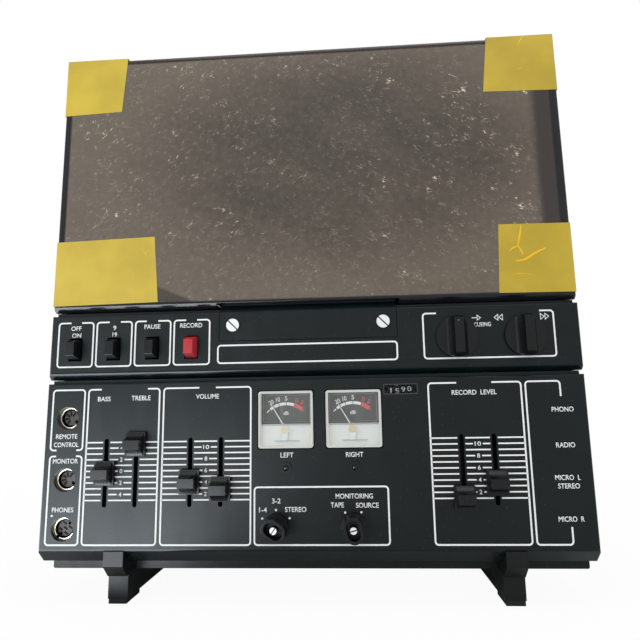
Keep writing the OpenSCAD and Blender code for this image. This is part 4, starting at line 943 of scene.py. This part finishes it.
def crease(points, width):
    """A raised fold along a few points, thin at its ends."""
    only()
    bpy.ops.curve.primitive_bezier_curve_add()
    piece = bpy.context.object
    piece.data.splines.clear()
    line = piece.data.splines.new("BEZIER")
    line.bezier_points.add(len(points) - 1)
    for i, (knot, (x, z)) in enumerate(zip(line.bezier_points, points)):
        knot.co = (x * MM, z * MM, 0)
        knot.handle_left_type = knot.handle_right_type = "AUTO"
        knot.radius = 0.45 if i in (0, len(points) - 1) else 1.0
    piece.data.bevel_depth = width / 2 * MM
    piece.data.bevel_resolution = 2
    piece.data.resolution_u = 6
    piece.data.use_fill_caps = True
    bpy.ops.object.convert(target="MESH")
    piece = bpy.context.object
    apply_place(piece, (0, 0, 0), (0, 0, 0), (1, 1, 0.35))
    return piece


for patch, (corners, folds) in PATCHES.items():
    tape_patch(patch, corners, folds)
folds_up = joined("tape_creases", [crease(*c) for c in CREASES])
apply_place(folds_up, (0, (FACE_Y - TAPE_T) * MM, FOOT_Z * MM), (math.pi / 2, 0, 0))
bpy.ops.object.shade_smooth()
dress(folds_up, TAPE_FOLD, "lid")


# ---------------------------------------------------------------- view, light and floor

def viewpoint():
    """The camera, fitted to the straight lines of the front."""
    view = bpy.data.cameras.new("viewpoint")
    view.sensor_width = 36
    view.lens = 30.126
    camera = bpy.data.objects.new("viewpoint", view)
    bpy.context.collection.objects.link(camera)
    camera.matrix_world = Matrix((
        (0.997702, 0.026997, 0.062138, 0.03564),
        (0.065631, -0.157571, -0.985324, -0.48774),
        (-0.01681, 0.987139, -0.158981, 0.14357),
        (0, 0, 0, 1)))
    bpy.context.scene.camera = camera


def softbox(name, place, aim, size, power, color, mirrored=False):
    """A soft lamp. A mirrored one shows only in gloss, as a bright patch of the room does."""
    lamp = bpy.data.lights.new(name, "AREA")
    lamp.shape = "RECTANGLE"
    lamp.size, lamp.size_y = size
    lamp.energy = power
    lamp.color = color
    held = bpy.data.objects.new(name, lamp)
    bpy.context.collection.objects.link(held)
    away = (Vector(place) - Vector(aim)).to_track_quat("Z", "Y")
    held.matrix_world = Matrix.Translation(place) @ away.to_matrix().to_4x4()
    held.visible_camera = False
    held.visible_diffuse = not mirrored


def surroundings():
    """White room: seen and mirrored as white, and giving a plain, even light."""
    room = bpy.data.worlds.new("room")
    bpy.context.scene.world = room
    room.use_nodes = True
    made = Nodes(room.node_tree)
    back = room.node_tree.nodes["Background"]
    made.link((1, 1, 1, 1), back.inputs["Color"])
    made.link(ROOM + (1 - ROOM) * made.seen(), back.inputs["Strength"])


def floor():
    only()
    bpy.ops.mesh.primitive_plane_add(size=9)
    plane = bpy.context.object
    plane.name = "floor"
    f = Finish("floor_white", Base_Color=(0.86, 0.86, 0.86, 1), Roughness=0.9, Specular_IOR_Level=0.1)
    away = f.node("ShaderNodeVectorMath", {"operation": "LENGTH"}, {0: f.place}, "Value")
    straight = f.node("ShaderNodeLightPath", {}, {}, "Is Camera Ray")
    white = straight * (FLOOR_GLOW + (1 - FLOOR_GLOW) * away.soft(0.35, 1.1)) + f.mirrored() * away.soft(0.25, 0.6)
    glow = f.node("ShaderNodeEmission", {}, {"Color": (1, 1, 1, 1), "Strength": 1.0})
    whole = f.node("ShaderNodeMixShader", {}, {0: white, 1: Value(f, f.shader.outputs[0]), 2: glow})
    f.link(whole, f.tree.nodes["Material Output"].inputs["Surface"])
    plane.data.materials.append(f.material)


ROOM = 0.76
FLOOR_GLOW = 0.95
DAYLIGHT = (0.88, 0.95, 1.0)
bpy.context.scene.view_settings.view_transform = "Standard"
viewpoint()
softbox("window_left", (-1.15, -0.75, 0.42), (0, -0.08, 0.15), (0.7, 0.5), 3.0, DAYLIGHT)
softbox("floor_left", (-0.43, -0.4225, 0.004), (-0.43, -0.4225, 1), (0.62, 0.655), 14.0, DAYLIGHT, True)
softbox("overhead", (0.1, -0.5, 1.5), (0, 0, 0.2), (1.4, 1.0), 8.0, (1, 1, 1))
surroundings()
floor()
